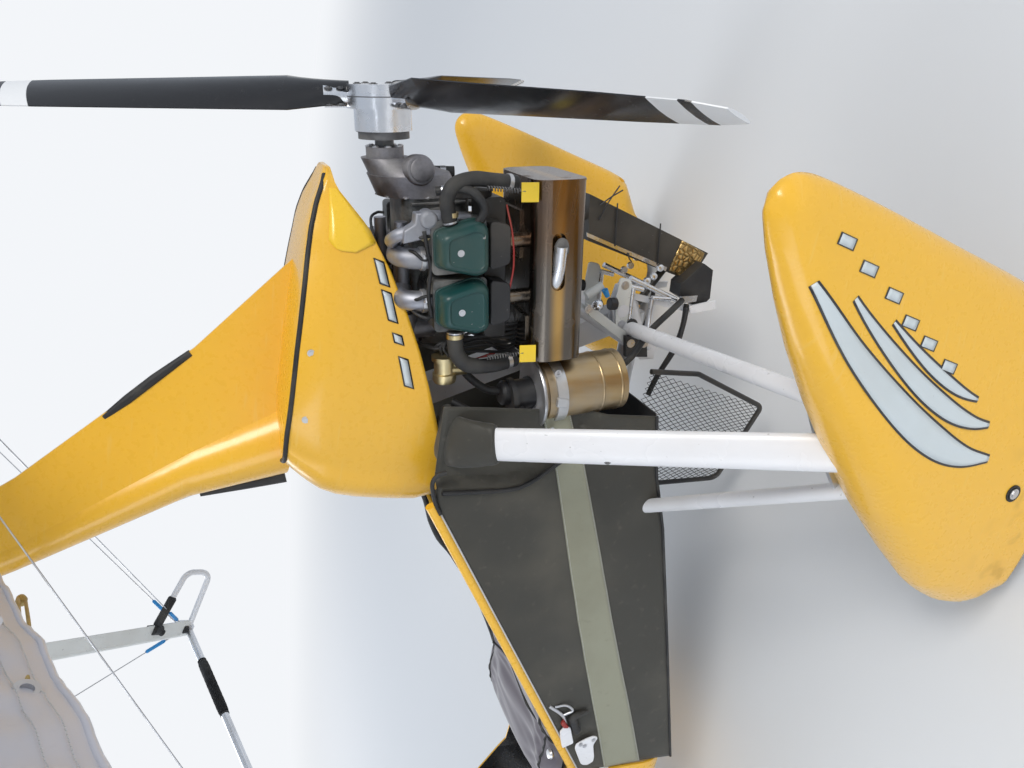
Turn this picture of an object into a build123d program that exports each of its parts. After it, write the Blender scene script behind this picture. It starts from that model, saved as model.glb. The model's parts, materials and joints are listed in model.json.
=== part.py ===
from build123d import *
import math
import os

# Weight-shift microlight trike with its flexible wing, parked on its three wheels.
# Lengths are in millimetres and angles in degrees. X points to port, Y aft and Z up.
# Pieces are drawn with y measured from the main axle, and save() moves them all by AXLE_Y,
# which puts the centre of the whole at the origin.
AXLE_Y = 480
SEAT_GAP = 0.3          # gap between pieces that rest on each other
RUN_GAP = 0.05          # radial gap of a shaft in its bore

# Wheels and axles
WHEEL_RADIUS = 165
TYRE_WIDTH = 94
BEAD_RADIUS = 85
BEAD_WIDTH = 76
RIM_WALL = 8
HUB_RADIUS = 28
AXLE_RADIUS = 10
TRACK_HALF = 780
NOSE_WHEEL_Y = -1750
WHEEL_GAP = 14          # free space between a tyre and what encloses it

# Tube frame
MAST_FOOT = Vector(0, 76, 500)
HANG_POINT = Vector(0, -800, 2440)
MAST_WIDTH = 55
MAST_DEPTH = 62
CHEEK_THICK = 6
CHEEK_RADIUS = 26
HANG_BOLT_RADIUS = 8
BASE_TUBE_RADIUS = 26
HEAD_BASE = Vector(0, -1625, 392)
STEER_RAKE = 20
HEAD_LENGTH = 120
HEAD_RADIUS = 24
STEM_RADIUS = 14
FORK_HALF = 66
FORK_RADIUS = 11
PEG_HALF = 230
PEG_RADIUS = 10
NOSE_STRUT_RADIUS = 19
NOSE_STRUT_FOOT = Vector(0, -2020, 640)
NOSE_STRUT_KNEE = Vector(0, -1950, 1420)
NOSE_STRUT_BEND = 380

# Undercarriage
LEG_TOP = Vector(20, -291, 1332)
FOOT_INSET = 45         # how far inside the wheel's middle the struts end
LEG_FOOT = Vector(TRACK_HALF - FOOT_INSET + 5, 30, 512)
LEG_CHORD = 104
LEG_THICK = 36
DRAG_TOP = Vector(20, -512, 585)
DRAG_FOOT = Vector(TRACK_HALF - FOOT_INSET, -60, 408)
DRAG_RADIUS = 17
LINK_X = 60             # side station of the suspension links
BRACE_TOP = Vector(20, 42, 560)
BRACE_FOOT = Vector(TRACK_HALF - FOOT_INSET, 124, 560)
BRACE_RADIUS = 18
SPAT_WIDTH = 176
SPAT_TAIL = 44
SPAT_ROUND = 14
CARRIER_X = TRACK_HALF - 72
CARRIER_THICK = 12

# Body
BODY_HALF = 292
SKIRT_THICK = 6
RAIL_RADIUS = 11
POD_WALL = 6
DECK_END = -1950
ARCH_HALF = 165
SEAT_HALF = 200
FLOOR_THICK = 4
COWL_HALF = 215
COWL_WALL = 5

# Engine, on a crankshaft line that rises towards the propeller
ENGINE_POINT = Vector(0, 170, 1070)
SHAFT_TILT = 10
CASE_WIDTH = 170
CASE_FRONT = -165
CASE_REAR = 135
CASE_HEIGHT = 150
CYLINDER_Y = (-58, 62)
STAGGER = 28
BARREL_RADIUS = 45
FIN_RADIUS = 55
FIN_THICK = 3
FIN_PITCH = 10
BARREL_END = 188
HEAD_END = 238
COVER_END = 290
HEAD_LONG = 108
HEAD_TALL = 114
SHAFT_RISE = 92
GEARBOX_REAR = 236
SHAFT_RADIUS = 20
SHAFT_DEPTH = 12
FLANGE_FRONT = 252
SPACER_FRONT = 268
SPACER_REAR = 313
SPACER_RADIUS = 60
HUB_LENGTH = 47
HUB_BODY_RADIUS = 74
BLADE_TIP = 864
BLADE_ANGLES = (69, -51, 189)
SILENCER_X = (57, 280)
SILENCER_HALF_LONG = 190
SILENCER_Z = (-265, -147)
EXHAUST_RADIUS = 16
INTAKE_X = 112
INTAKE_HEIGHT = 90
INTAKE_RADIUS = 15
INTAKE_BEND = 32
PLENUM_RADIUS = 14
CARB_RADIUS = 27

# Wing, in its own frame: origin on the keel over the hang bolt, y aft and z up
WING_ROLL = 17          # rest roll, port tip down
WING_PITCH = 19         # rest pitch, nose up
KEEL_HEIGHT = 90
KEEL_RADIUS = 30
KEEL_NOSE = -1115
KEEL_TAIL = 990
KEEL_END_RADIUS = 26
TAIL_FREE = 50          # turned-down end of the keel behind the rear wires
COLLAR_RADIUS = 42
COLLAR_THICK = 12
HANG_RING_RADIUS = 46
HANG_RING_LENGTH = 70
HANG_BLOCK_HALF = 22
APEX_Y = -200
CORNER = Vector(720, -540, -1510)
UPRIGHT_CHORD = 74
UPRIGHT_THICK = 28
BAR_RADIUS = 14
GRIP_RADIUS = 19
GRIP_SPAN = (250, 520)
TRAINER_RADIUS = 11
KINGPOST_Y = -100
KINGPOST_TOP = 900
KINGPOST_RADIUS = 15
WIRE_RADIUS = 2
SAIL_LIFT = 34
SAIL_THICK = 0.105
TRAILING_THICK = 5
SWIVEL_X = 2350         # where the cross tube meets the leading edge
HANG_NOTCH_HALF = 62    # half length of the opening in the sail over the hang block


def side_plane(x):
    """Plane across X whose own axes are Y and Z."""
    return Plane(origin=(x, 0, 0), x_dir=(0, 1, 0), z_dir=(1, 0, 0))


def prism(points, x_low, x_high):
    """Solid between two values of x from an outline given as (y, z) points."""
    outline = make_face(Polyline(*points, close=True))
    return extrude(side_plane(x_low) * outline, amount=x_high - x_low)


def rod(start, end, radius):
    """Round bar between two points."""
    start, end = Vector(start), Vector(end)
    return Solid.make_cylinder(radius, (end - start).length, Plane(origin=start, z_dir=end - start))


def pipe(points, bend, radius):
    """Round tube along straight runs joined by arcs of one bend radius."""
    path = FilletPolyline(*points, radius=bend)
    section = Plane(origin=path @ 0, z_dir=path % 0) * Circle(radius)
    return sweep(section, path=path)


def streamline(chord, thick):
    """Strut section: round nose towards -X and two flat flanks to the tail."""
    shoulder = -0.1 * chord
    nose = ThreePointArc((shoulder, -thick / 2), (-0.42 * chord, 0), (shoulder, thick / 2))
    upper = Line((shoulder, thick / 2), (0.58 * chord, 1.5))
    tail = Line((0.58 * chord, 1.5), (0.58 * chord, -1.5))
    lower = Line((0.58 * chord, -1.5), (shoulder, -thick / 2))
    return make_face(nose + upper + tail + lower)


def strut(start, end, chord, thick):
    """Streamlined tube between two points, its nose to the front."""
    start, end = Vector(start), Vector(end)
    axis = (end - start).normalized()
    aft = Vector(0, 1, 0)
    across = (aft - axis * axis.dot(aft)).normalized()
    section = Plane(origin=start, x_dir=across, z_dir=axis) * streamline(chord, thick)
    return extrude(section, amount=(end - start).length)


def mirrored(point):
    """The same point on the starboard side."""
    return Vector(-point.X, point.Y, point.Z)


def both(solid):
    """A piece and its mirror image across the centre plane."""
    return [solid, mirror(solid, about=Plane.YZ)]


def save(name, *pieces):
    """Write one node from its solids."""
    solids = [solid for piece in pieces for solid in piece.solids()]
    export_step(Pos(0, AXLE_Y, 0) * Compound(solids), f"parts/{name}.step")


# Wheels

def tyre(centre):
    """Tyre with a round crown and bulged walls, turning about X."""
    half, crown = BEAD_WIDTH / 2, WHEEL_RADIUS
    shoulder = (half + 2, crown - 23)
    wall = (TYRE_WIDTH / 2, (BEAD_RADIUS + crown) / 2 - 12)
    outline = (
        Line((-half, BEAD_RADIUS), (half, BEAD_RADIUS))
        + ThreePointArc((half, BEAD_RADIUS), wall, shoulder)
        + ThreePointArc(shoulder, (0, crown), (-shoulder[0], shoulder[1]))
        + ThreePointArc((-shoulder[0], shoulder[1]), (-wall[0], wall[1]), (-half, BEAD_RADIUS))
    )
    return Pos(*centre) * revolve(make_face(outline), axis=Axis.X)


def rim(centre):
    """Dished wheel with a barrel, a web with round holes and a bored hub."""
    outer = BEAD_RADIUS - SEAT_GAP
    half = BEAD_WIDTH / 2
    barrel = Solid.make_cylinder(outer, 2 * half, Plane(origin=(-half, 0, 0), z_dir=(1, 0, 0)))
    for side in (-1, 1):
        pocket = Plane(origin=(side * RIM_WALL / 2, 0, 0), z_dir=(side, 0, 0))
        barrel -= Solid.make_cylinder(outer - RIM_WALL, half, pocket)
    hub = Solid.make_cylinder(HUB_RADIUS, 2 * half, Plane(origin=(-half, 0, 0), z_dir=(1, 0, 0)))
    wheel = barrel + hub
    for turn in range(0, 360, 60):
        y, z = 52 * math.cos(math.radians(turn)), 52 * math.sin(math.radians(turn))
        wheel -= Solid.make_cylinder(13, 3 * RIM_WALL, Plane(origin=(-1.5 * RIM_WALL, y, z), z_dir=(1, 0, 0)))
    bore = Plane(origin=(-half - 1, 0, 0), z_dir=(1, 0, 0))
    wheel -= Solid.make_cylinder(AXLE_RADIUS + RUN_GAP, 2 * half + 2, bore)
    return Pos(*centre) * wheel


MAIN_HUB = Vector(TRACK_HALF, 0, WHEEL_RADIUS)
NOSE_HUB = Vector(0, NOSE_WHEEL_Y, WHEEL_RADIUS)


# Undercarriage

def leg():
    """Main leg from the mast down into the spat."""
    return strut(LEG_TOP, LEG_FOOT, LEG_CHORD, LEG_THICK) - mast()


def drag_strut():
    """Front strut from the bracket on the base tube into the spat."""
    return rod(DRAG_TOP, DRAG_FOOT, DRAG_RADIUS)


def brace():
    """Rear strut from the mast foot into the spat."""
    return rod(BRACE_TOP, BRACE_FOOT, BRACE_RADIUS)


def axle_carrier():
    """Upright plate inside the spat that joins the struts and holds the stub axle."""
    outline = [(-40, 125), (40, 125), (80, 470), (150, 540), (150, 588), (20, 500), (-85, 412)]
    plate = prism(outline, CARRIER_X, CARRIER_X + CARRIER_THICK)
    stub = rod((CARRIER_X, 0, WHEEL_RADIUS), (TRACK_HALF + SPAT_WIDTH / 2, 0, WHEEL_RADIUS), AXLE_RADIUS)
    inner_side = TRACK_HALF - BEAD_WIDTH / 2 - SEAT_GAP
    shoulder = rod((CARRIER_X, 0, WHEEL_RADIUS), (inner_side, 0, WHEEL_RADIUS), HUB_RADIUS - 8)
    return plate + stub + shoulder


def spat_body():
    """Closed form of a wheel fairing: its side outline cut by its plan outline."""
    side = (
        Line((-280, 45), (-292, 105))
        + ThreePointArc((-292, 105), (-200, 285), (-30, 483))
        + Line((-30, 483), (427, 828))
        + ThreePointArc((427, 828), (470, 822), (484, 785))
        + Line((484, 785), (360, 190))
        + ThreePointArc((360, 190), (325, 150), (270, 125))
        + Line((270, 125), (60, 45))
        + Line((60, 45), (-280, 45))
    )
    half, tail = SPAT_WIDTH / 2, SPAT_TAIL / 2
    plan = (
        ThreePointArc((-half + 28, -250), (0, -318), (half - 28, -250))
        + ThreePointArc((half - 28, -250), (half, -60), (half - 8, 120))
        + Line((half - 8, 120), (tail, 500))
        + Line((tail, 500), (-tail, 500))
        + Line((-tail, 500), (-half + 8, 120))
        + ThreePointArc((-half + 8, 120), (-half, -60), (-half + 28, -250))
    )
    width = extrude(side_plane(-half - 5) * make_face(side), amount=SPAT_WIDTH + 10)
    height = extrude(make_face(plan), amount=900)
    form = width & height
    return Pos(TRACK_HALF, 0, 0) * fillet(form.edges(), SPAT_ROUND)


def spat():
    """Wheel fairing with its wheel well and the slots of the struts."""
    well_radius = WHEEL_RADIUS + WHEEL_GAP
    inner, outer = CARRIER_X, TRACK_HALF + TYRE_WIDTH / 2 + WHEEL_GAP
    well = rod((inner, 0, WHEEL_RADIUS), (outer, 0, WHEEL_RADIUS), well_radius)
    well += prism([(-well_radius, WHEEL_RADIUS), (well_radius, WHEEL_RADIUS), (well_radius, 0), (-well_radius, 0)],
                  inner, outer)
    body = spat_body() - well
    for piece in (axle_carrier(), leg(), drag_strut(), brace()):
        body -= piece
    return max(body.solids(), key=lambda solid: solid.volume)


# Frame

def mast_plane():
    """Plane at the foot of the mast, along it."""
    return Plane(origin=MAST_FOOT, x_dir=(1, 0, 0), z_dir=HANG_POINT - MAST_FOOT)


def mast():
    """Mast with the two cheeks and the bolt that carry the hang block."""
    length = (HANG_POINT - MAST_FOOT).length
    tube = extrude(Rectangle(MAST_WIDTH, MAST_DEPTH), amount=length - 46)
    for side in (-1, 1):
        x = side * MAST_WIDTH / 2
        cheek = Solid.make_cylinder(CHEEK_RADIUS, CHEEK_THICK, Plane(origin=(x, 0, length), z_dir=(side, 0, 0)))
        arm = Box(CHEEK_THICK, 2 * CHEEK_RADIUS, 150)
        tube += cheek + Pos(x + side * CHEEK_THICK / 2, 0, length - 75) * arm
        head_start = (x + side * CHEEK_THICK, 0, length)
        tube += Solid.make_cylinder(14, 8, Plane(origin=head_start, z_dir=(side, 0, 0)))
        washer_start = (side * (HANG_BLOCK_HALF + SEAT_GAP), 0, length)
        washer_length = MAST_WIDTH / 2 - HANG_BLOCK_HALF - SEAT_GAP
        tube += Solid.make_cylinder(13, washer_length, Plane(origin=washer_start, z_dir=(side, 0, 0)))
    bolt = Solid.make_cylinder(HANG_BOLT_RADIUS, MAST_WIDTH, Plane(origin=(-MAST_WIDTH / 2, 0, length), z_dir=(1, 0, 0)))
    return mast_plane().location * (tube + bolt)


def head_axis():
    """Unit vector up the steering axis."""
    rake = math.radians(STEER_RAKE)
    return Vector(0, math.sin(rake), math.cos(rake))


def base_start():
    """Point on the steering head where the base tube begins."""
    return HEAD_BASE + head_axis() * (HEAD_LENGTH / 2)


def base_top(y):
    """Height of the base tube's upper edge at one station."""
    start = base_start()
    slope = (MAST_FOOT.Z - start.Z) / (MAST_FOOT.Y - start.Y)
    return start.Z + slope * (y - start.Y) + BASE_TUBE_RADIUS * math.hypot(1, slope) + SEAT_GAP


def base_tube():
    """Tube from the mast foot to the steering head, with the bracket of the drag struts."""
    head_top = HEAD_BASE + head_axis() * HEAD_LENGTH
    tube = rod(base_start(), MAST_FOOT, BASE_TUBE_RADIUS) + rod(HEAD_BASE, head_top, HEAD_RADIUS)
    tube += prism([(-560, 470), (-555, 600), (-480, 600), (-455, 480)], -20, 20)
    tube -= rod(HEAD_BASE - head_axis(), head_top + head_axis(), STEM_RADIUS + RUN_GAP)
    return tube - mast()


def nose_strut():
    """Cranked strut from the nose deck up to the front of the mast."""
    top = HANG_POINT + (MAST_FOOT - HANG_POINT).normalized() * 150
    tube = pipe([NOSE_STRUT_FOOT - Vector(0, 0, 60), NOSE_STRUT_KNEE, top], NOSE_STRUT_BEND, NOSE_STRUT_RADIUS)
    return tube - mast() - pod_outer()


# Body

POD_START = -1190       # rear end of the pod
POD_NOSE = -2290
POD_REAR = (298, 205, 760)      # half width, bottom and top at the rear end
POD_TIP = (36, 428, 500)        # the same at the nose
POD_CORNER = 110                # largest corner radius of a section
POD_STATIONS = (0, 0.22, 0.42, 0.58, 0.72, 0.83, 0.92, 0.975, 1)
RAIL_FRONT = (-1182, 540)       # middle of a side rail at its ends
RAIL_REAR = (-325, 1078)
SKIRT_REAR = ((-112, 700), (-112, 811), (-98, 950), (-98, 1086))
BELLY_LINE = ((-1190, 216), (-745, 352), (-405, 459), (-253, 519), (-96, 560))


def pod_loft(inset):
    """Closed form of the nose, drawn in by one inset all round."""
    sections = []
    for share in POD_STATIONS:
        half = POD_TIP[0] + (POD_REAR[0] - POD_TIP[0]) * (1 - share ** 2.2) ** 0.65 - inset
        bottom = POD_REAR[1] + (POD_TIP[1] - POD_REAR[1]) * share ** 3.2 + inset
        top = POD_REAR[2] + (POD_TIP[2] - POD_REAR[2]) * share ** 2.7 - inset
        y = POD_START + (POD_NOSE - POD_START) * share + (2 * inset if share == 1 else 0)
        corner = min(0.36 * min(2 * half, top - bottom), POD_CORNER - inset)
        plane = Plane(origin=(0, y, (bottom + top) / 2), x_dir=(1, 0, 0), z_dir=(0, 1, 0))
        sections.append(plane * RectangleRounded(2 * half, top - bottom, corner))
    return loft(sections, ruled=True)


def pod_outer():
    """Outer form of the nose."""
    return pod_loft(0)


def cockpit_space():
    """Room above the side rails that the pod leaves open."""
    low = [(DECK_END, 664), (-1740, 560), (-1620, 458), (-1420, 430), (-1310, 460), (POD_START, 535)]
    outline = [*low, (-1100, 560), (-1100, 900), (DECK_END, 900)]
    return prism(outline, -400, 400)


def pod():
    """Hollow nose with its cockpit opening and the arch of the nose wheel."""
    shell = pod_outer() - pod_loft(POD_WALL) - cockpit_space()
    arch = prism([(-1985, 150), (-1960, 310), (-1510, 310), (-1490, 150)], -ARCH_HALF, ARCH_HALF)
    return shell - arch


def instrument_panel():
    """Bulkhead under the deck's rear edge that carries the dials."""
    slab = prism([(DECK_END - 20, 430), (DECK_END - 14, 700), (DECK_END, 700), (DECK_END - 6, 430)], -300, 300)
    return (slab & pod_loft(POD_WALL + SEAT_GAP)) - nose_strut()


SCREEN_PLANS = (  # z, front y, arc half width, arc end y, rear half width
    (520, -2205, 226, -2000, 268),
    (1060, -2068, 158, -1935, 196),
)
SCREEN_WALL = 4
SCREEN_END = -1730


def screen_form(inset):
    """Closed form of the windscreen, drawn in by one inset, open behind its end."""
    sections = []
    for z, front, half, arc_end, rear_half in SCREEN_PLANS:
        near, wide, back = half - inset, rear_half - inset, SCREEN_END + 60 + inset
        outline = (
            ThreePointArc((-near, arc_end), (0, front + inset), (near, arc_end))
            + Line((near, arc_end), (wide, back))
            + Line((wide, back), (-wide, back))
            + Line((-wide, back), (-near, arc_end))
        )
        sections.append(Pos(0, 0, z) * make_face(outline))
    return loft(sections, ruled=True)


def windscreen():
    """Wraparound screen whose top edge sweeps down to the side rails."""
    side = (
        Line((-2300, 500), (-2300, 1015))
        + Line((-2300, 1015), (-2060, 1035))
        + ThreePointArc((-2060, 1035), (-1905, 960), (SCREEN_END, 640))
        + Line((SCREEN_END, 640), (SCREEN_END, 500))
        + Line((SCREEN_END, 500), (-2300, 500))
    )
    swept = extrude(side_plane(-300) * make_face(side), amount=600)
    screen = ((screen_form(0) - screen_form(SCREEN_WALL)) & swept) - (pod_outer() - cockpit_space())
    return max(screen.solids(), key=lambda solid: solid.volume)


def rail():
    """Rail along the top of a side skirt."""
    return rod((BODY_HALF, *RAIL_FRONT), (BODY_HALF, *RAIL_REAR), RAIL_RADIUS)


def skirt():
    """Fabric side of the body, from the pod back to the oil tank."""
    outline = [*BELLY_LINE, *SKIRT_REAR, RAIL_REAR, RAIL_FRONT]
    panel = prism(outline, BODY_HALF - SKIRT_THICK / 2, BODY_HALF + SKIRT_THICK / 2)
    hole = rod(DRAG_TOP, DRAG_FOOT, DRAG_RADIUS + 1)
    return panel - rail() - hole - leg()


def belly():
    """Floor between the side skirts."""
    lower = list(BELLY_LINE)
    upper = [(y, z + FLOOR_THICK) for y, z in reversed(BELLY_LINE)]
    half = BODY_HALF - SKIRT_THICK / 2 - SEAT_GAP
    return prism(lower + upper, -half, half) - rod(base_start(), MAST_FOOT, BASE_TUBE_RADIUS + SEAT_GAP) - mast()


def front_seat():
    """Pilot's seat, its back folded down behind the cushion."""
    front, rear = -1400, -975
    profile = [(front, base_top(front)), (front + 5, 516), (-1290, 530), (-1100, 600), (-960, 684), (-925, 672)]
    profile.append((rear, base_top(rear)))
    return fillet(prism(profile, -SEAT_HALF, SEAT_HALF).edges().filter_by(Axis.X), 12)


def rear_seat():
    """Passenger's seat, higher and just behind."""
    profile = [(-885, 655), (-880, 700), (-560, 738), (-505, 950), (-462, 960), (-438, 940), (-490, 655)]
    return fillet(prism(profile, -SEAT_HALF, SEAT_HALF).edges().filter_by(Axis.X), 12)


def seat_frame():
    """Two cross tubes and four posts that carry the rear seat over the base tube."""
    pieces = None
    for y in (-820, -530):
        cross = rod((-170, y, 655 - SEAT_GAP - 12), (170, y, 655 - SEAT_GAP - 12), 12)
        for side in (-1, 1):
            cross += rod((side * 150, y, 643), (side * 24, y, 470), 10)
        pieces = cross if pieces is None else pieces + cross
    return pieces - base_tube() - drag_strut() - mirror(drag_strut(), about=Plane.YZ)


def cowl_form(inset):
    """Closed form of the engine cowl, drawn in by one inset."""
    side = Polyline(
        (-312, 1364), (-384, 1186), (-394, 1070), (-372, 1034), (-300, 1010), (-41, 1113), (168, 1204),
        (279, 1269), (323, 1330), (315, 1353), (181, 1373), (-53, 1370), (-231, 1380), close=True)
    plan = (
        ThreePointArc((-174, -372), (0, -410), (174, -372))
        + ThreePointArc((174, -372), (COWL_HALF, -92), (170, 150))
        + ThreePointArc((170, 150), (112, 262), (46, 330))
        + Line((46, 330), (-46, 330))
        + ThreePointArc((-46, 330), (-112, 262), (-170, 150))
        + ThreePointArc((-170, 150), (-COWL_HALF, -92), (-174, -372))
    )
    side_face, plan_face = make_face(side), make_face(plan)
    if inset:
        side_face, plan_face = offset(side_face, -inset), offset(plan_face, -inset)
    width = extrude(side_plane(-300) * side_face, amount=600)
    height = Pos(0, 0, 900) * extrude(plan_face, amount=600)
    return width & height


def cowl():
    """Cowl shell, open below, with the holes of the mast and the slots of the legs."""
    inner = cowl_form(COWL_WALL)
    shell = cowl_form(0) - inner - Pos(0, 0, -25) * inner
    shell -= mast_plane().location * (Pos(0, 0, 900) * Box(MAST_WIDTH + 2, MAST_DEPTH + 2, 900))
    slot = strut(LEG_TOP, LEG_FOOT, LEG_CHORD + 6, LEG_THICK + 6)
    shell -= slot
    shell -= mirror(slot, about=Plane.YZ)
    return max(shell.solids(), key=lambda solid: solid.volume)


PYLON_SECTIONS = (  # z, leading edge y, trailing edge y, half width
    (1352, -379, 148, 48),
    (1560, -440, -88, 46),
    (1900, -617, -398, 43),
    (2230, -768, -640, 40),
)


def pylon():
    """Fairing round the mast, narrowing to the hang bolt."""
    sections = []
    for z, lead, trail, half in PYLON_SECTIONS:
        chord = trail - lead
        shoulder = lead + 0.35 * chord
        outline = (
            ThreePointArc((-half, shoulder), (0, lead), (half, shoulder))
            + Line((half, shoulder), (3, trail))
            + Line((3, trail), (-3, trail))
            + Line((-3, trail), (-half, shoulder))
        )
        sections.append(Pos(0, 0, z) * make_face(outline))
    core = mast_plane().location * (Pos(0, 0, 1000) * Box(MAST_WIDTH + 0.6, MAST_DEPTH + 0.6, 2400))
    body = loft(sections, ruled=True) - core - cowl_form(0) - nose_strut()
    return [solid for solid in body.solids() if solid.volume > 2e4]


# Engine

ENGINE_AT = Location(ENGINE_POINT, (SHAFT_TILT, 0, 0))


def along(y, x=0, z=0):
    """Plane across the crankshaft line at one place on it."""
    return Plane(origin=(x, y, z), x_dir=(1, 0, 0), z_dir=(0, 1, 0))


def crankcase():
    """Crankcase with its sump, in one block."""
    length = CASE_REAR - CASE_FRONT
    block = Pos(0, (CASE_REAR + CASE_FRONT) / 2, 0) * Box(CASE_WIDTH, length, CASE_HEIGHT)
    block = fillet(block.edges().filter_by(Axis.Y), 30)
    block += Solid.make_cylinder(62, 34, along(CASE_FRONT - 34))
    return ENGINE_AT * block


def gearbox():
    """Reduction gearbox that lifts the propeller shaft above the crankshaft."""
    low, high = SHAFT_RISE * 0.25, SHAFT_RISE
    body = loft([along(CASE_REAR, z=low) * Circle(92), along(CASE_REAR + 45, z=low + 20) * Circle(90)])
    body += loft([along(CASE_REAR + 45, z=low + 20) * Circle(86), along(GEARBOX_REAR - 22, z=high) * Circle(52)])
    body += Solid.make_cylinder(40, 24, along(GEARBOX_REAR - 24, z=high))
    body -= Solid.make_cylinder(SHAFT_RADIUS + RUN_GAP, SHAFT_DEPTH + 1, along(GEARBOX_REAR - SHAFT_DEPTH, z=high))
    return ENGINE_AT * body


def barrel(side, y):
    """Finned cylinder barrel, pointing out along X."""
    comb = [(CASE_WIDTH / 2, 0), (CASE_WIDTH / 2, BARREL_RADIUS)]
    x = CASE_WIDTH / 2 + FIN_PITCH / 2
    while x + FIN_THICK < BARREL_END:
        comb += [(x, BARREL_RADIUS), (x, FIN_RADIUS), (x + FIN_THICK, FIN_RADIUS), (x + FIN_THICK, BARREL_RADIUS)]
        x += FIN_PITCH
    comb += [(BARREL_END, BARREL_RADIUS), (BARREL_END, 0)]
    solid = revolve(make_face(Polyline(*comb, close=True)), axis=Axis.X)
    if side < 0:
        solid = mirror(solid, about=Plane.YZ)
    return Pos(0, y, 0) * solid


def cylinder_places():
    """Side and crankshaft station of each of the four cylinders."""
    return [(1, y) for y in CYLINDER_Y] + [(-1, y - STAGGER) for y in CYLINDER_Y]


def cylinders():
    """Four finned barrels."""
    return [ENGINE_AT * barrel(side, y) for side, y in cylinder_places()]


def block_out(side, y, x_low, x_high, long, tall, corner):
    """Rounded block outboard of a cylinder."""
    block = Pos(side * (x_low + x_high) / 2, y, 0) * Box(x_high - x_low, long, tall)
    return ENGINE_AT * fillet(block.edges().filter_by(Axis.X), corner)


def cylinder_heads():
    """Four cylinder heads."""
    return [block_out(side, y, BARREL_END, HEAD_END, HEAD_LONG, HEAD_TALL, 10) for side, y in cylinder_places()]


def rocker_covers():
    """Four rocker covers."""
    covers = []
    for side, y in cylinder_places():
        cover = Pos(side * (HEAD_END + COVER_END) / 2, y, 0) * Box(COVER_END - HEAD_END, HEAD_LONG - 6, HEAD_TALL - 4)
        cover = fillet(cover.edges().filter_by(Axis.X), 20)
        outer = cover.faces().sort_by(Axis.X)[-1 if side > 0 else 0]
        covers.append(ENGINE_AT * fillet(outer.edges(), 9))
    return covers


def intake():
    """Balance pipe on each side, with an elbow down to each head."""
    pieces = []
    for side in (-1, 1):
        shift = 0 if side > 0 else -STAGGER
        x = side * INTAKE_X
        plenum = rod((x, -100 + shift, INTAKE_HEIGHT), (x, 95 + shift, INTAKE_HEIGHT), PLENUM_RADIUS)
        for y in CYLINDER_Y:
            port = side * (BARREL_END + HEAD_END) / 2
            route = [(x, y + shift, INTAKE_HEIGHT), (port, y + shift, INTAKE_HEIGHT), (port, y + shift, HEAD_TALL / 2)]
            plenum += pipe(route, INTAKE_BEND, INTAKE_RADIUS)
        pieces.append(ENGINE_AT * plenum)
    return pieces


def carburettors():
    """Two carburettors ahead of the balance pipes."""
    pieces = []
    for side in (-1, 1):
        shift = 0 if side > 0 else -STAGGER
        x, start = side * INTAKE_X, -100 + shift - SEAT_GAP
        body = rod((x, start, INTAKE_HEIGHT), (x, start - 70, INTAKE_HEIGHT), CARB_RADIUS)
        bowl = Vector(x, start - 38, INTAKE_HEIGHT)
        body += rod(bowl, bowl - Vector(0, 0, 62), CARB_RADIUS - 4)
        pieces.append(ENGINE_AT * body)
    return pieces


def silencer_box():
    """Closed form of the silencer."""
    x_low, x_high = SILENCER_X
    z_low, z_high = SILENCER_Z
    box = Pos((x_low + x_high) / 2, 0, (z_low + z_high) / 2) * Box(
        x_high - x_low, 2 * SILENCER_HALF_LONG, z_high - z_low)
    return fillet(box.edges().filter_by(Axis.Y), 34)


def silencer():
    """Silencer with the tail pipe in its slot and the four exhaust pipes."""
    slot_z = (SILENCER_Z[0] + SILENCER_Z[1]) / 2 + 8
    body = silencer_box()
    recess = rod((SILENCER_X[1] - 12, -20, slot_z), (SILENCER_X[1] + 20, -20, slot_z), 15)
    recess += rod((SILENCER_X[1] - 12, 70, slot_z), (SILENCER_X[1] + 20, 70, slot_z), 15)
    recess += Pos(SILENCER_X[1] + 4, 25, slot_z) * Box(32, 90, 30)
    body -= recess
    for side, y in cylinder_places():
        x = side * (BARREL_END + HEAD_END) / 2
        if side > 0:
            body += rod((x, y, -HEAD_TALL / 2), (x, y, SILENCER_Z[1] - 5), EXHAUST_RADIUS)
        else:
            low = -190
            body += pipe([(x, y, -HEAD_TALL / 2), (x, y, low), (SILENCER_X[0] + 5, y, low)], 42, EXHAUST_RADIUS)
    return ENGINE_AT * body


OIL_TANK = (Vector(220, -37, 650), Vector(220, -76, 838))
OIL_TANK_RADIUS = 70


def oil_tank():
    """Round oil tank with a clamp band."""
    low, high = OIL_TANK
    axis = (high - low).normalized()
    can = rod(low, high, OIL_TANK_RADIUS)
    band = rod(high - axis * 40, high - axis * 18, OIL_TANK_RADIUS + 4)
    lid = rod(high, high + axis * 10, OIL_TANK_RADIUS - 6)
    return can + band + lid


def oil_tank_cap():
    """Filler and hose tower on the oil tank."""
    high = OIL_TANK[1]
    axis = (high - OIL_TANK[0]).normalized()
    tower = rod(high + axis * 10, high + axis * 62, 34) + rod(high + axis * 62, high + axis * 74, 40)
    return tower


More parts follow.
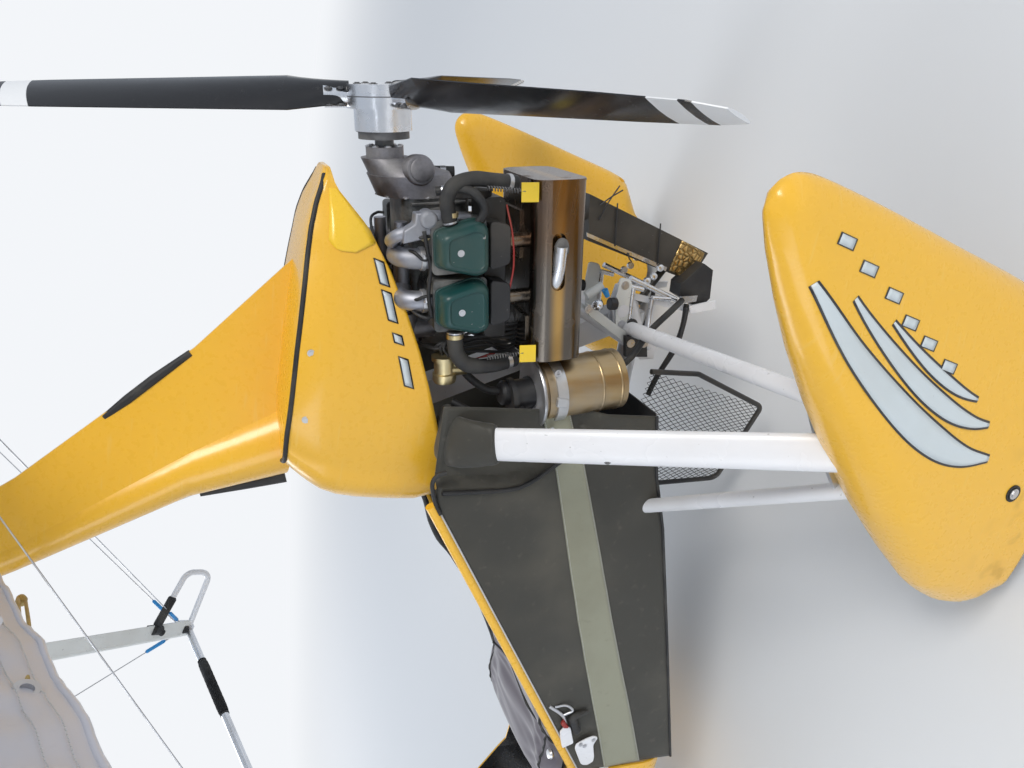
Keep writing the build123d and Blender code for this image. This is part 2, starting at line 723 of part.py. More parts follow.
def suspension_links():
    """Rocker and levers that join the rear struts to the springing at the mast foot."""
    outline = [(-30, 462), (-34, 500), (30, 590), (92, 612), (150, 604), (156, 578), (60, 520), (0, 462)]
    rocker = prism(outline, LINK_X - 10, LINK_X - 4) + prism(outline, LINK_X + 14, LINK_X + 20)
    for y, z, radius in ((92, 588, 16), (-12, 482, 12), (20, 540, 11)):
        rocker += rod((LINK_X - 18, y, z), (LINK_X + 30, y, z), radius)
    rocker += rod((MAST_WIDTH / 2, MAST_FOOT.Y, 560), (LINK_X - 4, MAST_FOOT.Y, 560), 12)
    levers = prism([(121, 580), (137, 578), (113, 374), (97, 376)], LINK_X + 2, LINK_X + 8)
    levers += rod((LINK_X - 6, 129, 574), (LINK_X + 16, 129, 574), 8)
    levers += prism([(94, 388), (116, 388), (136, 312), (114, 306)], LINK_X + 8, LINK_X + 14)
    levers += rod((LINK_X + 5, 106, 380), (LINK_X + 18, 106, 380), 7)
    stay = rod((LINK_X, -20, 488), (LINK_X + 18, 145, 840), 11)
    return (rocker + levers + stay) - brace() - mast() - base_tube() - silencer()


def radiator():
    """Cooling radiator, leaning back under the engine, on two hangers and a lower stay."""
    core = prism([(242, 686), (352, 706), (248, 333), (170, 367)], -290, 20)
    for x in (-60, 0):
        core += rod((x, 297, 690), (x, 292, 1040), 8)
    core += rod((-20, 90, 485), (-20, 205, 420), 10)
    return core - crankcase() - mast()


def engine_mount():
    """Two bearers from the mast to the crankcase, with the shelf of the oil tank."""
    pieces = None
    for side in (-1, 1):
        upper = rod((side * 20, -215, 1150), (side * 60, 30, 1075), 14)
        lower = rod((side * 20, -60, 820), (side * 60, 40, 1010), 14)
        pieces = upper + lower if pieces is None else pieces + upper + lower
    pieces += rod((20, -60, 800), (220, -60, 760), 12)
    return pieces - mast() - crankcase() - oil_tank()


# Propeller

PROP_SECTIONS = (  # radius, chord, thickness, pitch angle
    (66, 52, 40, 40),
    (190, 112, 26, 34),
    (400, 118, 17, 27),
    (650, 112, 11, 23),
    (810, 94, 8, 21),
    (BLADE_TIP, 60, 6, 20),
)


def blade():
    """Blade along +Y of the propeller's own frame, leading edge towards -X."""
    sections = []
    for radius, chord, thick, pitch in PROP_SECTIONS:
        turn = math.radians(pitch)
        plane = Plane(origin=(0, radius, 0), x_dir=(-math.cos(turn), 0, -math.sin(turn)), z_dir=(0, 1, 0))
        lead, trail = 0.4 * chord, -0.6 * chord
        outline = (
            ThreePointArc((trail, 1), (0.1 * chord, thick * 0.6), (lead, 1))
            + Line((lead, 1), (lead, -1))
            + ThreePointArc((lead, -1), (0.1 * chord, -thick * 0.4), (trail, -1))
            + Line((trail, -1), (trail, 1))
        )
        sections.append(plane * make_face(outline))
    return loft(sections, ruled=True)


HUB_MIDDLE = SPACER_REAR + HUB_LENGTH / 2
HUB_AT = ENGINE_AT * Location(Plane(origin=(0, HUB_MIDDLE, SHAFT_RISE), x_dir=(1, 0, 0), z_dir=(0, 1, 0)))


def hub():
    """Split clamp hub with a socket for each blade."""
    half = HUB_LENGTH / 2
    body = Solid.make_cylinder(HUB_BODY_RADIUS, 2 * half, Plane(origin=(0, 0, -half)))
    for angle in BLADE_ANGLES:
        arm = rod((0, 20, 0), (0, 118, 0), half - 0.5)
        body += Rot(0, 0, -angle) * arm
    return HUB_AT * body


def blades():
    """Three blades, each starting at its socket."""
    pieces = []
    for angle in BLADE_ANGLES:
        pieces.append(HUB_AT * (Rot(0, 0, -angle) * blade()) - hub())
    return [max(piece.solids(), key=lambda solid: solid.volume) for piece in pieces]


def shaft():
    """Propeller shaft with its flange."""
    start = GEARBOX_REAR - SHAFT_DEPTH + SEAT_GAP
    body = Solid.make_cylinder(SHAFT_RADIUS, FLANGE_FRONT - start, along(start, z=SHAFT_RISE))
    body += Solid.make_cylinder(54, SPACER_FRONT - FLANGE_FRONT, along(FLANGE_FRONT, z=SHAFT_RISE))
    return ENGINE_AT * body


def spacer():
    """Drum between the flange and the hub."""
    return ENGINE_AT * Solid.make_cylinder(SPACER_RADIUS, SPACER_REAR - SPACER_FRONT, along(SPACER_FRONT, z=SHAFT_RISE))


# Nose fork

def fork():
    """Steered fork: stem, crown, two blades, axle and foot pegs."""
    up = head_axis()
    crown_point = HEAD_BASE - up * 12
    stem = rod(crown_point, HEAD_BASE + up * (HEAD_LENGTH + 4), STEM_RADIUS)
    collar = rod(HEAD_BASE + up * (HEAD_LENGTH + SEAT_GAP), HEAD_BASE + up * (HEAD_LENGTH + 14), HEAD_RADIUS - 2)
    crown = rod(crown_point - Vector(FORK_HALF, 0, 0), crown_point + Vector(FORK_HALF, 0, 0), 12 - SEAT_GAP)
    body = stem + collar + crown
    for side in (-1, 1):
        knee = crown_point + Vector(side * FORK_HALF, 0, 0)
        body += rod(knee, NOSE_HUB + Vector(side * FORK_HALF, 0, 0), FORK_RADIUS)
        body += rod(knee, crown_point + Vector(side * PEG_HALF, 0, 0), PEG_RADIUS)
    end = Vector(FORK_HALF + FORK_RADIUS + 5, 0, 0)
    return body + rod(NOSE_HUB - end, NOSE_HUB + end, AXLE_RADIUS)


def mudguard():
    """Mudguard over the nose wheel, held by the fork blades."""
    inner = WHEEL_RADIUS + WHEEL_GAP
    half = FORK_HALF - FORK_RADIUS + 3
    ring = Solid.make_cylinder(inner + 3, 2 * half, Plane(origin=(-half, 0, 0), z_dir=(1, 0, 0)))
    ring -= Solid.make_cylinder(inner, 2 * half, Plane(origin=(-half, 0, 0), z_dir=(1, 0, 0)))
    sector = prism([(0, 0), (-90, 300), (300, 300), (300, 60)], -60, 60)
    return Pos(*NOSE_HUB) * (ring & sector) - fork()


# Wing

HANG_AT = Location(HANG_POINT, (-WING_PITCH, 0, 0))
WING_AT = HANG_AT * Location((0, 0, KEEL_HEIGHT), (0, WING_ROLL, 0))


def hang_block():
    """Block that pitches on the hang bolt and lets the keel roll in its ring."""
    half = HANG_RING_LENGTH / 2
    ring = Solid.make_cylinder(HANG_RING_RADIUS, HANG_RING_LENGTH, along(-half, z=KEEL_HEIGHT))
    block = Pos(0, 0, KEEL_HEIGHT / 2) * Box(2 * HANG_BLOCK_HALF, 50, KEEL_HEIGHT)
    lower = Solid.make_cylinder(25, 2 * HANG_BLOCK_HALF, Plane(origin=(-HANG_BLOCK_HALF, 0, 0), z_dir=(1, 0, 0)))
    body = ring + block + lower
    body -= Solid.make_cylinder(KEEL_RADIUS + RUN_GAP, HANG_RING_LENGTH + 2, along(-half - 1, z=KEEL_HEIGHT))
    bolt = Plane(origin=(-HANG_BLOCK_HALF - 1, 0, 0), z_dir=(1, 0, 0))
    body -= Solid.make_cylinder(HANG_BOLT_RADIUS + RUN_GAP, 2 * HANG_BLOCK_HALF + 2, bolt)
    return HANG_AT * body


def keel_local():
    """Keel tube with its collars, the saddle of the A-frame and the nose plate."""
    tube = Solid.make_cylinder(KEEL_RADIUS, KEEL_TAIL - TAIL_FREE - KEEL_NOSE, along(KEEL_NOSE))
    tube += Solid.make_cylinder(KEEL_END_RADIUS, TAIL_FREE, along(KEEL_TAIL - TAIL_FREE))
    for side in (-1, 1):
        edge = side * (HANG_RING_LENGTH / 2 + SEAT_GAP)
        start = edge if side > 0 else edge - COLLAR_THICK
        tube += Solid.make_cylinder(COLLAR_RADIUS, COLLAR_THICK, along(start))
    saddle = Pos(0, APEX_Y, -34) * Box(84, 64, 52)
    plate = Pos(0, KEEL_NOSE + 60, -KEEL_RADIUS - 2) * Box(150, 120, 8)
    return tube + saddle + plate


def corner_at(side):
    """Lower corner of the control frame."""
    return Vector(side * CORNER.X, CORNER.Y, CORNER.Z)


def bar_local():
    """Base bar with its corner knuckles."""
    bar = rod(corner_at(-1), corner_at(1), BAR_RADIUS)
    for side in (-1, 1):
        bar += Pos(*(corner_at(side) + Vector(side * 4, 0, 12))) * Box(40, 46, 50)
    return bar


def upright_local(side):
    """Streamlined upright of the control frame."""
    top = Vector(side * 26, APEX_Y, -40)
    return strut(top, corner_at(side), UPRIGHT_CHORD, UPRIGHT_THICK) - keel_local() - bar_local()


def trainer_local(side):
    """Bent bar behind an upright, for the second pair of hands."""
    corner = corner_at(side)
    meet = Vector(side * 636, -470, -1330)
    points = [corner + Vector(0, 10, 0), corner + Vector(side * 12, 270, 10), corner + Vector(side * 4, 270, 110), meet]
    return pipe(points, 45, TRAINER_RADIUS) - bar_local() - upright_local(side)


def grip_local(side):
    """Foam grip on the base bar."""
    low, high = GRIP_SPAN
    start, end = Vector(side * low, CORNER.Y, CORNER.Z), Vector(side * high, CORNER.Y, CORNER.Z)
    return rod(start, end, GRIP_RADIUS) - rod(start, end, BAR_RADIUS + SEAT_GAP / 3)


SAIL_SECTIONS = (  # x, leading edge y, chord, rise, washout angle
    (0, -1130, 1900, SAIL_LIFT, 0),
    (1300, -460, 1560, 44, 3),
    (3950, 930, 850, 24, 9),
    (4210, 1160, 470, 12, 9),
)


def sail_section(x, lead, chord, rise, washout):
    """Wing section: flat below, arched above, square at the trailing edge."""
    top = SAIL_THICK * chord
    outline = (
        ThreePointArc((0.012 * chord, 0), (0, 0.022 * chord), (0.03 * chord, 0.05 * chord))
        + ThreePointArc((0.03 * chord, 0.05 * chord), (0.36 * chord, top), (chord, TRAILING_THICK))
        + Line((chord, TRAILING_THICK), (chord, 0))
        + Line((chord, 0), (0.012 * chord, 0))
    )
    plane = Plane(origin=(x, lead, rise), x_dir=(0, 1, 0), z_dir=(1, 0, 0))
    return plane * (Rot(0, 0, washout) * make_face(outline))


def sail_local(side):
    """One half of the sail, with half of the kingpost's hole."""
    half = loft([sail_section(*row) for row in SAIL_SECTIONS], ruled=True)
    if side < 0:
        half = mirror(half, about=Plane.YZ)
    notch = Pos(0, 0, 0) * Box(140, 2 * HANG_NOTCH_HALF, 2 * (HANG_RING_RADIUS + 8))
    return half - notch - rod((0, KINGPOST_Y, 0), (0, KINGPOST_Y, 400), KINGPOST_RADIUS + 3)


def kingpost_local():
    """Kingpost on the keel."""
    post = rod((0, KINGPOST_Y, 0), (0, KINGPOST_Y, KINGPOST_TOP), KINGPOST_RADIUS)
    cap = rod((0, KINGPOST_Y, KINGPOST_TOP - 20), (0, KINGPOST_Y, KINGPOST_TOP + 12), KINGPOST_RADIUS + 5)
    return post + cap - keel_local()


def wires_local():
    """Main stays: side, front and rear wires below, and those of the kingpost above."""
    nose, tail = Vector(0, KEEL_NOSE + 20, 0), Vector(0, KEEL_TAIL - TAIL_FREE - 15, 0)
    summit = Vector(0, KINGPOST_Y, KINGPOST_TOP)
    wires = []
    for side in (-1, 1):
        swivel = Vector(side * SWIVEL_X, 200, 110)
        for start, end in (
            (Vector(side * 10, 0, 28), swivel),
            (Vector(0, -14, 28), nose + Vector(side * 55, 0, -KEEL_RADIUS)),
            (Vector(0, 14, 28), tail),
        ):
            wires.append(rod(corner_at(side) + start, end, WIRE_RADIUS))
        wires.append(rod(summit, swivel, WIRE_RADIUS))
    for end in (nose + Vector(0, -10, 0), tail):
        wires.append(rod(summit, end, WIRE_RADIUS))
    blockers = [keel_local(), bar_local(), kingpost_local(), sail_local(1), sail_local(-1)]
    for side in (-1, 1):
        blockers += [upright_local(side), trainer_local(side)]
    cut = []
    for wire in wires:
        for blocker in blockers:
            wire = wire - blocker
        cut.append(max(wire.solids(), key=lambda solid: solid.volume))
    return cut


def cover_flap_local():
    """Edge of the sail's cloth cover that hangs under the port half."""
    inner, outer = Vector(320, 450, -430), Vector(1220, 830, -350)
    top = SAIL_LIFT + 60
    face = make_face(Polyline(inner, outer, Vector(outer.X, outer.Y, top), Vector(inner.X, inner.Y, top), close=True))
    sheet = extrude(face, amount=1.5, both=True)
    return max((sheet - sail_local(1)).solids(), key=lambda solid: -solid.center().Z)


def stone_guard():
    """Frame of the net that keeps stones off the propeller."""
    points = [Vector(10, -430, 300), Vector(20, -410, 105), Vector(115, -140, 100), Vector(125, -50, 345)]
    frame = pipe([points[0] + Vector(0, 0, 155)] + points + [points[-1] + Vector(0, 0, 145)], 25, 7)
    frame = frame - base_tube() - belly() - brace() - mast()
    return max(frame.solids(), key=lambda solid: solid.volume)


def build():
    """All nodes: name and solids, y measured from the main axle."""
    wing = lambda shape: WING_AT * shape
    yield "mast", [mast()]
    yield "base_tube", [base_tube()]
    yield "nose_strut", [nose_strut()]
    yield "pod_shell", [pod()]
    yield "windscreen", [windscreen() - nose_strut()]
    yield "instrument_panel", [instrument_panel()]
    yield "front_seat", [front_seat()]
    yield "rear_seat", [rear_seat()]
    yield "seat_frame", [seat_frame()]
    yield "side_skirts", both(skirt())
    yield "side_rails", both(rail())
    yield "belly_floor", [belly()]
    yield "engine_cowl", [cowl()]
    yield "pylon_fairing", pylon()
    yield "crankcase", [crankcase()]
    yield "gearbox", [gearbox()]
    yield "cylinders", cylinders()
    yield "cylinder_heads", cylinder_heads()
    yield "rocker_covers", rocker_covers()
    yield "intake_pipes", intake()
    yield "carburettors", carburettors()
    yield "silencer", [silencer()]
    yield "oil_tank", [oil_tank()]
    yield "oil_tank_cap", [oil_tank_cap()]
    yield "radiator", [radiator()]
    yield "engine_mount", [engine_mount()]
    yield "main_legs", both(leg())
    yield "lower_struts", both(drag_strut() - base_tube()) + both(brace() - mast())
    yield "axle_carriers", both(axle_carrier() - leg() - drag_strut() - brace())
    yield "spats", both(spat())
    yield "suspension_links", [suspension_links()]
    yield "stone_guard", [stone_guard()]
    yield "nose_fork", [fork()]
    yield "nose_mudguard", [mudguard()]
    for name, centre in (("nose", NOSE_HUB), ("port", MAIN_HUB), ("starboard", mirrored(MAIN_HUB))):
        yield f"{name}_tyre", [tyre(centre)]
        yield f"{name}_rim", [rim(centre)]
    yield "prop_shaft", [shaft()]
    yield "prop_spacer", [spacer()]
    yield "prop_hub", [hub()]
    yield "prop_blades", blades()
    yield "hang_block", [hang_block()]
    yield "keel", [wing(keel_local())]
    yield "base_bar", [wing(bar_local())]
    yield "uprights", [wing(upright_local(side)) for side in (-1, 1)]
    yield "training_bars", [wing(trainer_local(side)) for side in (-1, 1)]
    yield "bar_grips", [wing(grip_local(side)) for side in (-1, 1)]
    yield "kingpost", [wing(kingpost_local())]
    yield "sail_port", [wing(sail_local(1))]
    yield "sail_starboard", [wing(sail_local(-1))]
    yield "cover_flap", [wing(cover_flap_local())]
    yield "wing_wires", [wing(wire) for wire in wires_local()]


os.makedirs("parts", exist_ok=True)
for node, shapes in build():
    save(node, *shapes)
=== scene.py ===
"""Weight-shift microlight trike with its flexible wing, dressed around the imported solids.

Pieces are drawn in millimetres in the frame of what carries them: the body, whose y starts at the
main axle, the engine, the propeller hub or the wing. A matrix then takes them to the scene's metres.
"""

import json
import logging
from dataclasses import dataclass
from enum import Enum, IntEnum
from math import atan2, copysign, cos, exp, hypot, pi, radians, sin, sqrt
from typing import Sequence

import bmesh
import bpy
from mathutils import Matrix, Vector, noise

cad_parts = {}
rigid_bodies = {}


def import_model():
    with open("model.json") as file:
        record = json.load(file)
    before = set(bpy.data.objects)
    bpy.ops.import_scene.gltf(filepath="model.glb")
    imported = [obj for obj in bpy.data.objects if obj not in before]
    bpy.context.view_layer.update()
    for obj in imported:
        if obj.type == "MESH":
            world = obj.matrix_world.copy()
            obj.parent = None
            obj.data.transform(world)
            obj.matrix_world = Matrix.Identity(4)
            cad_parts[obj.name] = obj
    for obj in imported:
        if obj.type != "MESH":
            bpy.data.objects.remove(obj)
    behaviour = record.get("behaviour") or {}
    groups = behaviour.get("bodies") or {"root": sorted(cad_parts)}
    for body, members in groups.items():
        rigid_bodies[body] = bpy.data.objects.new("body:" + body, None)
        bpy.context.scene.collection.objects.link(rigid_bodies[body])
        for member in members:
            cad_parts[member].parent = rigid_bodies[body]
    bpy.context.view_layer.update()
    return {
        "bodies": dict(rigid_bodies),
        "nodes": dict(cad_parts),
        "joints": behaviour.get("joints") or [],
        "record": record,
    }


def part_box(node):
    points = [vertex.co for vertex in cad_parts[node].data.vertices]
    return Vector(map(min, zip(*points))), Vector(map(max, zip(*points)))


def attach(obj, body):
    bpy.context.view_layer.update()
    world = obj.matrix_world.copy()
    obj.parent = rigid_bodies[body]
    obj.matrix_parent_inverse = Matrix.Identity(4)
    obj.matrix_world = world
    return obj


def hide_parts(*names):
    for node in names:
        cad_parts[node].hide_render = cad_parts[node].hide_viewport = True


LOG = logging.getLogger("trike")
MM = 0.001
FULL_TURN = 2 * pi
MERGE_DISTANCE = 0.005
LEAST_RADIUS = 0.01
BEVEL_ANGLE = 35.0
NOISE_SEED = 1
Point = Sequence[float]
Colour = tuple[float, float, float]
Socket = bpy.types.NodeSocket


class Body(str, Enum):
    """The moving bodies that pieces ride on."""

    TRIKE = "trike"
    WING = "wing"
    PROP = "propeller"


class Side(IntEnum):
    """The two sides, each the sign of its x."""

    PORT = 1
    STARBOARD = -1

    @property
    def word(self) -> str:
        """The side's word in the names of pieces."""
        return self.name.lower()


# Shader kit


class Value:
    """A number socket that takes part in Python arithmetic."""

    def __init__(self, graph: "Graph", socket: Socket) -> None:
        """Keep the socket and the graph that new nodes go into."""
        self.graph, self.socket = graph, socket

    def math(self, operation: str, *others: "Value | float") -> "Value":
        """Apply one Math node to this value and others."""
        return self.graph.math(operation, self, *others)

    def __add__(self, other: "Value | float") -> "Value":
        """Sum."""
        return self.math("ADD", other)

    __radd__ = __add__

    def __mul__(self, other: "Value | float") -> "Value":
        """Product."""
        return self.math("MULTIPLY", other)

    __rmul__ = __mul__

    def __sub__(self, other: "Value | float") -> "Value":
        """Difference."""
        return self.math("SUBTRACT", other)

    def __rsub__(self, other: float) -> "Value":
        """Difference from a number."""
        return self.graph.math("SUBTRACT", other, self)

    def ramp(self, low: float, high: float) -> "Value":
        """Smooth step.

        Args:
            low: Where the result is 0.
            high: Where the result is 1.

        Returns:
            A value from 0 to 1.
        """
        smooth = {"interpolation_type": "SMOOTHSTEP"}
        made = self.graph.node("ShaderNodeMapRange", smooth, {"Value": self, "From Min": low, "From Max": high})
        return Value(self.graph, made.outputs["Result"])


class Nodes:
    """A node tree that is filled from Python."""

    def __init__(self, tree: bpy.types.NodeTree) -> None:
        """Empty the tree and keep it."""
        self.tree = tree
        self.tree.nodes.clear()

    def plug(self, socket: Socket, value: object) -> None:
        """Link or set one input.

        Args:
            socket: The input.
            value: A Value, a socket, a colour of three numbers or a plain value.
        """
        if isinstance(value, Value):
            value = value.socket
        if isinstance(value, Socket):
            self.tree.links.new(value, socket)
        elif socket.type == "RGBA" and len(value) == 3:
            socket.default_value = (*value, 1.0)
        else:
            socket.default_value = value

    def node(self, kind: str, settings: dict | None = None, inputs: dict | None = None) -> bpy.types.Node:
        """Add a node.

        Args:
            kind: The node's type.
            settings: Its properties, set first.
            inputs: Values or links by socket name or index.

        Returns:
            The node.
        """
        made = self.tree.nodes.new(kind)
        for key, value in (settings or {}).items():
            setattr(made, key, value)
        for key, value in (inputs or {}).items():
            self.plug(made.inputs[key], value)
        return made


class Graph(Nodes):
    """Node tree of one material."""

    def __init__(self, name: str) -> None:
        """Start an empty material with its object coordinates."""
        self.material = bpy.data.materials.new(name)
        self.material.use_nodes = True
        super().__init__(self.material.node_tree)
        self.coords = self.node("ShaderNodeTexCoord").outputs["Object"]
        self.x, self.y, self.z = self.split(self.coords)

    def split(self, vector: Socket) -> list[Value]:
        """The three numbers of a vector."""
        return [Value(self, s) for s in self.node("ShaderNodeSeparateXYZ", None, {0: vector}).outputs]

    def math(self, operation: str, *operands: "Value | float") -> Value:
        """Apply a Math node to its operands."""
        made = self.node("ShaderNodeMath", {"operation": operation}, dict(enumerate(operands)))
        return Value(self, made.outputs[0])

    def mix(self, factor: "Value | float", first: object, second: object) -> Socket:
        """Mix two colours by a factor."""
        return self.node("ShaderNodeMix", {"data_type": "RGBA"}, {0: factor, 6: first, 7: second}).outputs[2]

    def stretched(self, scale: Point) -> Socket:
        """Object coordinates scaled along each axis."""
        return self.node("ShaderNodeMapping", None, {"Vector": self.coords, "Scale": scale}).outputs[0]

    def noise(self, scale: float, detail: float = 3.0, at: object = None) -> Value:
        """Noise from about 0 to 1.

        Args:
            scale: Repeats for each metre.
            detail: Octaves.
            at: Coordinates, or the object's own.

        Returns:
            The noise value.
        """
        inputs = {"Vector": at or self.coords, "Scale": scale, "Detail": detail}
        return Value(self, self.node("ShaderNodeTexNoise", None, inputs).outputs["Fac"])

    def cells(self, scale: float) -> Value:
        """Distance to the edge in a cell pattern."""
        inputs = {"Vector": self.coords, "Scale": scale}
        made = self.node("ShaderNodeTexVoronoi", {"feature": "DISTANCE_TO_EDGE"}, inputs)
        return Value(self, made.outputs["Distance"])

    def bump(self, height: Value, strength: float, distance: float) -> Socket:
        """Bump from a height value, its distance in metres."""
        inputs = {"Height": height, "Strength": strength, "Distance": distance}
        return self.node("ShaderNodeBump", None, inputs).outputs[0]

    def surface(self, inputs: dict) -> None:
        """End the material in a Principled shader with the inputs given by name."""
        shader = self.node("ShaderNodeBsdfPrincipled", None, inputs)
        self.node("ShaderNodeOutputMaterial", None, {"Surface": shader.outputs[0]})


# Finishes


@dataclass(frozen=True)
class Finish:
    """A surface finish, whose material is built once."""

    name: str
    colour: Colour

    def material(self) -> bpy.types.Material:
        """The material of this finish, kept under a name that no packed material has."""
        name = f"finish_{self.name}"
        kept = bpy.data.materials.get(name)
        if kept is None:
            graph = Graph(name)
            self.draw(graph)
            kept = graph.material
        return kept

    def draw(self, graph: Graph) -> None:
        """Build the nodes."""
        raise NotImplementedError


@dataclass(frozen=True)
class GelCoat(Finish):
    """Moulded gel coat: sun-faded patches, fine scratches, and mud thrown up from the grass."""

    faded: Colour = (0.86, 0.46, 0.03)
    mud: Colour = (0.2, 0.13, 0.05)
    mud_top: float = 0.24
    lined: float = 0.0

    def draw(self, graph: Graph) -> None:
        """Build the nodes."""
        cloud = graph.noise(1.7, 2.0).ramp(0.35, 0.7)
        speck = graph.noise(70.0, 4.0)
        height = graph.z.ramp(self.mud_top, 0.02)
        splash = height * graph.noise(24.0, 6.0).ramp(0.5, 0.68)
        scratch = graph.noise(9.0, 5.0, graph.stretched((1.0, 1.0, 14.0))).ramp(0.62, 0.72)
        colour = graph.mix(cloud * 0.55, self.colour, self.faded)
        colour = graph.mix(scratch * 0.12, colour, (0.95, 0.75, 0.35))
        colour = graph.mix(splash * 0.4, colour, self.mud)
        if self.lined:
            normal = graph.split(graph.node("ShaderNodeNewGeometry").outputs["True Normal"])
            inside = (normal[0] * graph.x).ramp(-0.02, -0.06)
            colour = graph.mix(inside * self.lined, colour, (0.02, 0.02, 0.022))
        graph.surface({
            "Base Color": colour,
            "Roughness": speck * 0.08 + splash * 0.45 + scratch * 0.12 + 0.24,
            "Coat Weight": 0.35,
            "Coat Roughness": 0.12,
            "Normal": graph.bump(graph.noise(160.0, 1.0), 0.03, 0.001),
        })


@dataclass(frozen=True)
class Paint(Finish):
    """Stoved or brushed paint with dulled patches, dust and small chips down to the metal."""

    roughness: float = 0.3
    chip: Colour = (0.35, 0.34, 0.33)
    chips: float = 0.5
    dust: Colour = (0.35, 0.3, 0.22)
    dusty: float = 0.15

    def draw(self, graph: Graph) -> None:
        """Build the nodes."""
        patch = graph.noise(6.0, 4.0).ramp(0.35, 0.75)
        chip = graph.noise(95.0, 3.0).ramp(0.71, 0.735) * self.chips
        dust = patch * self.dusty
        colour = graph.mix(dust, self.colour, self.dust)
        colour = graph.mix(chip, colour, self.chip)
        graph.surface({
            "Base Color": colour,
            "Roughness": patch * 0.14 + chip * 0.3 + self.roughness,
            "Normal": graph.bump(graph.noise(240.0, 2.0) - chip, 0.06, 0.0008),
        })


@dataclass(frozen=True)
class Metal(Finish):
    """Bare metal: grain along one axis, handling marks and dull oxide."""

    roughness: float = 0.25
    grain: Point = (1.0, 1.0, 1.0)
    grain_scale: float = 60.0
    depth: float = 0.1
    oxide: Colour = (0.25, 0.24, 0.22)
    dull: float = 0.25

    def draw(self, graph: Graph) -> None:
        """Build the nodes."""
        grain = graph.noise(self.grain_scale, 3.0, graph.stretched(self.grain))
        patch = graph.noise(11.0, 5.0).ramp(0.4, 0.72)
        colour = graph.mix(patch * self.dull, self.colour, self.oxide)
        colour = graph.mix(grain * 0.18, colour, (0.9, 0.9, 0.9))
        graph.surface({
            "Base Color": colour,
            "Metallic": 1.0 - patch * self.dull,
            "Roughness": grain * 0.14 + patch * 0.2 + self.roughness,
            "Normal": graph.bump(grain, self.depth, 0.0006),
        })


@dataclass(frozen=True)
class HeatSteel(Finish):
    """Stainless steel tinted straw, bronze and violet by heat, with patches of soot."""

    centre: Point = (0.17, 0.65, 0.86)
    straw: Colour = (0.66, 0.4, 0.12)
    bronze: Colour = (0.2, 0.12, 0.07)
    violet: Colour = (0.12, 0.1, 0.15)
    tilt: float = 0.176

    def draw(self, graph: Graph) -> None:
        """Build the nodes."""
        drift = graph.noise(3.2, 3.0)
        along = (graph.y - self.centre[1]) * 2.4 + drift
        height, middle = graph.z - (graph.y - self.centre[1]) * self.tilt, self.centre[2]
        band = height.ramp(middle - 0.012, middle + 0.004) - height.ramp(middle + 0.006, middle + 0.03)
        straw = (band + graph.noise(4.5, 2.0).ramp(0.5, 0.75) * 0.4).math("MINIMUM", 1.0)
        bronze = along.ramp(0.55, 0.95)
        violet = along.ramp(0.95, 1.25)
        brush = graph.noise(90.0, 3.0, graph.stretched((1.0, 0.05, 1.0)))
        stain = graph.noise(18.0, 6.0).ramp(0.58, 0.75)
        colour = graph.mix(straw * 0.75, self.colour, self.straw)
        colour = graph.mix(bronze * 0.6, colour, self.bronze)
        colour = graph.mix(violet * 0.5, colour, self.violet)
        colour = graph.mix(stain * 0.4, colour, (0.05, 0.045, 0.04))
        graph.surface({
            "Base Color": colour,
            "Metallic": 1.0 - stain * 0.4,
            "Roughness": brush * 0.16 + stain * 0.3 + 0.17,
            "Normal": graph.bump(brush, 0.08, 0.0006),
        })


@dataclass(frozen=True)
class Rubber(Finish):
    """Rubber, hose or moulded plastic with a dusty bloom."""

    roughness: float = 0.55
    bloom: Colour = (0.16, 0.15, 0.13)
    dusty: float = 0.3
    pits: float = 0.12

    def draw(self, graph: Graph) -> None:
        """Build the nodes."""
        patch = graph.noise(14.0, 5.0).ramp(0.42, 0.75)
        graph.surface({
            "Base Color": graph.mix(patch * self.dusty, self.colour, self.bloom),
            "Roughness": patch * 0.2 + self.roughness,
            "Normal": graph.bump(graph.noise(320.0, 2.0), self.pits, 0.0008),
        })


@dataclass(frozen=True)
class Weave(Finish):
    """Woven cloth on the piece's own map: threads both ways, stains, and fade."""

    thread: float = 0.0016
    sheen: float = 0.25
    roughness: float = 0.75
    stain: Colour = (0.2, 0.18, 0.14)
    stained: float = 0.3
    coated: float = 0.0

    def draw(self, graph: Graph) -> None:
        """Build the nodes."""
        u, v, _ = graph.split(graph.node("ShaderNodeUVMap", {"uv_map": "cut"}).outputs[0])
        turn = FULL_TURN / self.thread
        warp, weft = (u * turn).math("SINE"), (v * turn).math("SINE")
        height = warp * weft * 0.5 + 0.5
        patch = graph.noise(3.5, 5.0).ramp(0.42, 0.75)
        fleck = graph.noise(45.0, 4.0).ramp(0.6, 0.75)
        colour = graph.mix(patch * self.stained, self.colour, self.stain)
        colour = graph.mix(fleck * self.stained * 0.5, colour, self.stain)
        graph.surface({
            "Base Color": graph.mix(height * 0.12, colour, (0.0, 0.0, 0.0)),
            "Roughness": patch * 0.12 + self.roughness,
            "Sheen Weight": self.sheen,
            "Coat Weight": self.coated,
            "Coat Roughness": 0.25,
            "Normal": graph.bump(height + fleck * 0.3, 0.35, 0.0005),
        })


@dataclass(frozen=True)
class Screen(Finish):
    """Clear acrylic with fine scratches."""

    def draw(self, graph: Graph) -> None:
        """Build the nodes."""
        haze = graph.noise(30.0, 6.0, graph.stretched((1.0, 6.0, 1.0))).ramp(0.55, 0.8)
        graph.surface({
            "Base Color": self.colour,
            "Roughness": haze * 0.2 + 0.04,
            "Alpha": haze * 0.12 + 0.24,
            "IOR": 1.49,
            "Coat Weight": 0.8,
        })


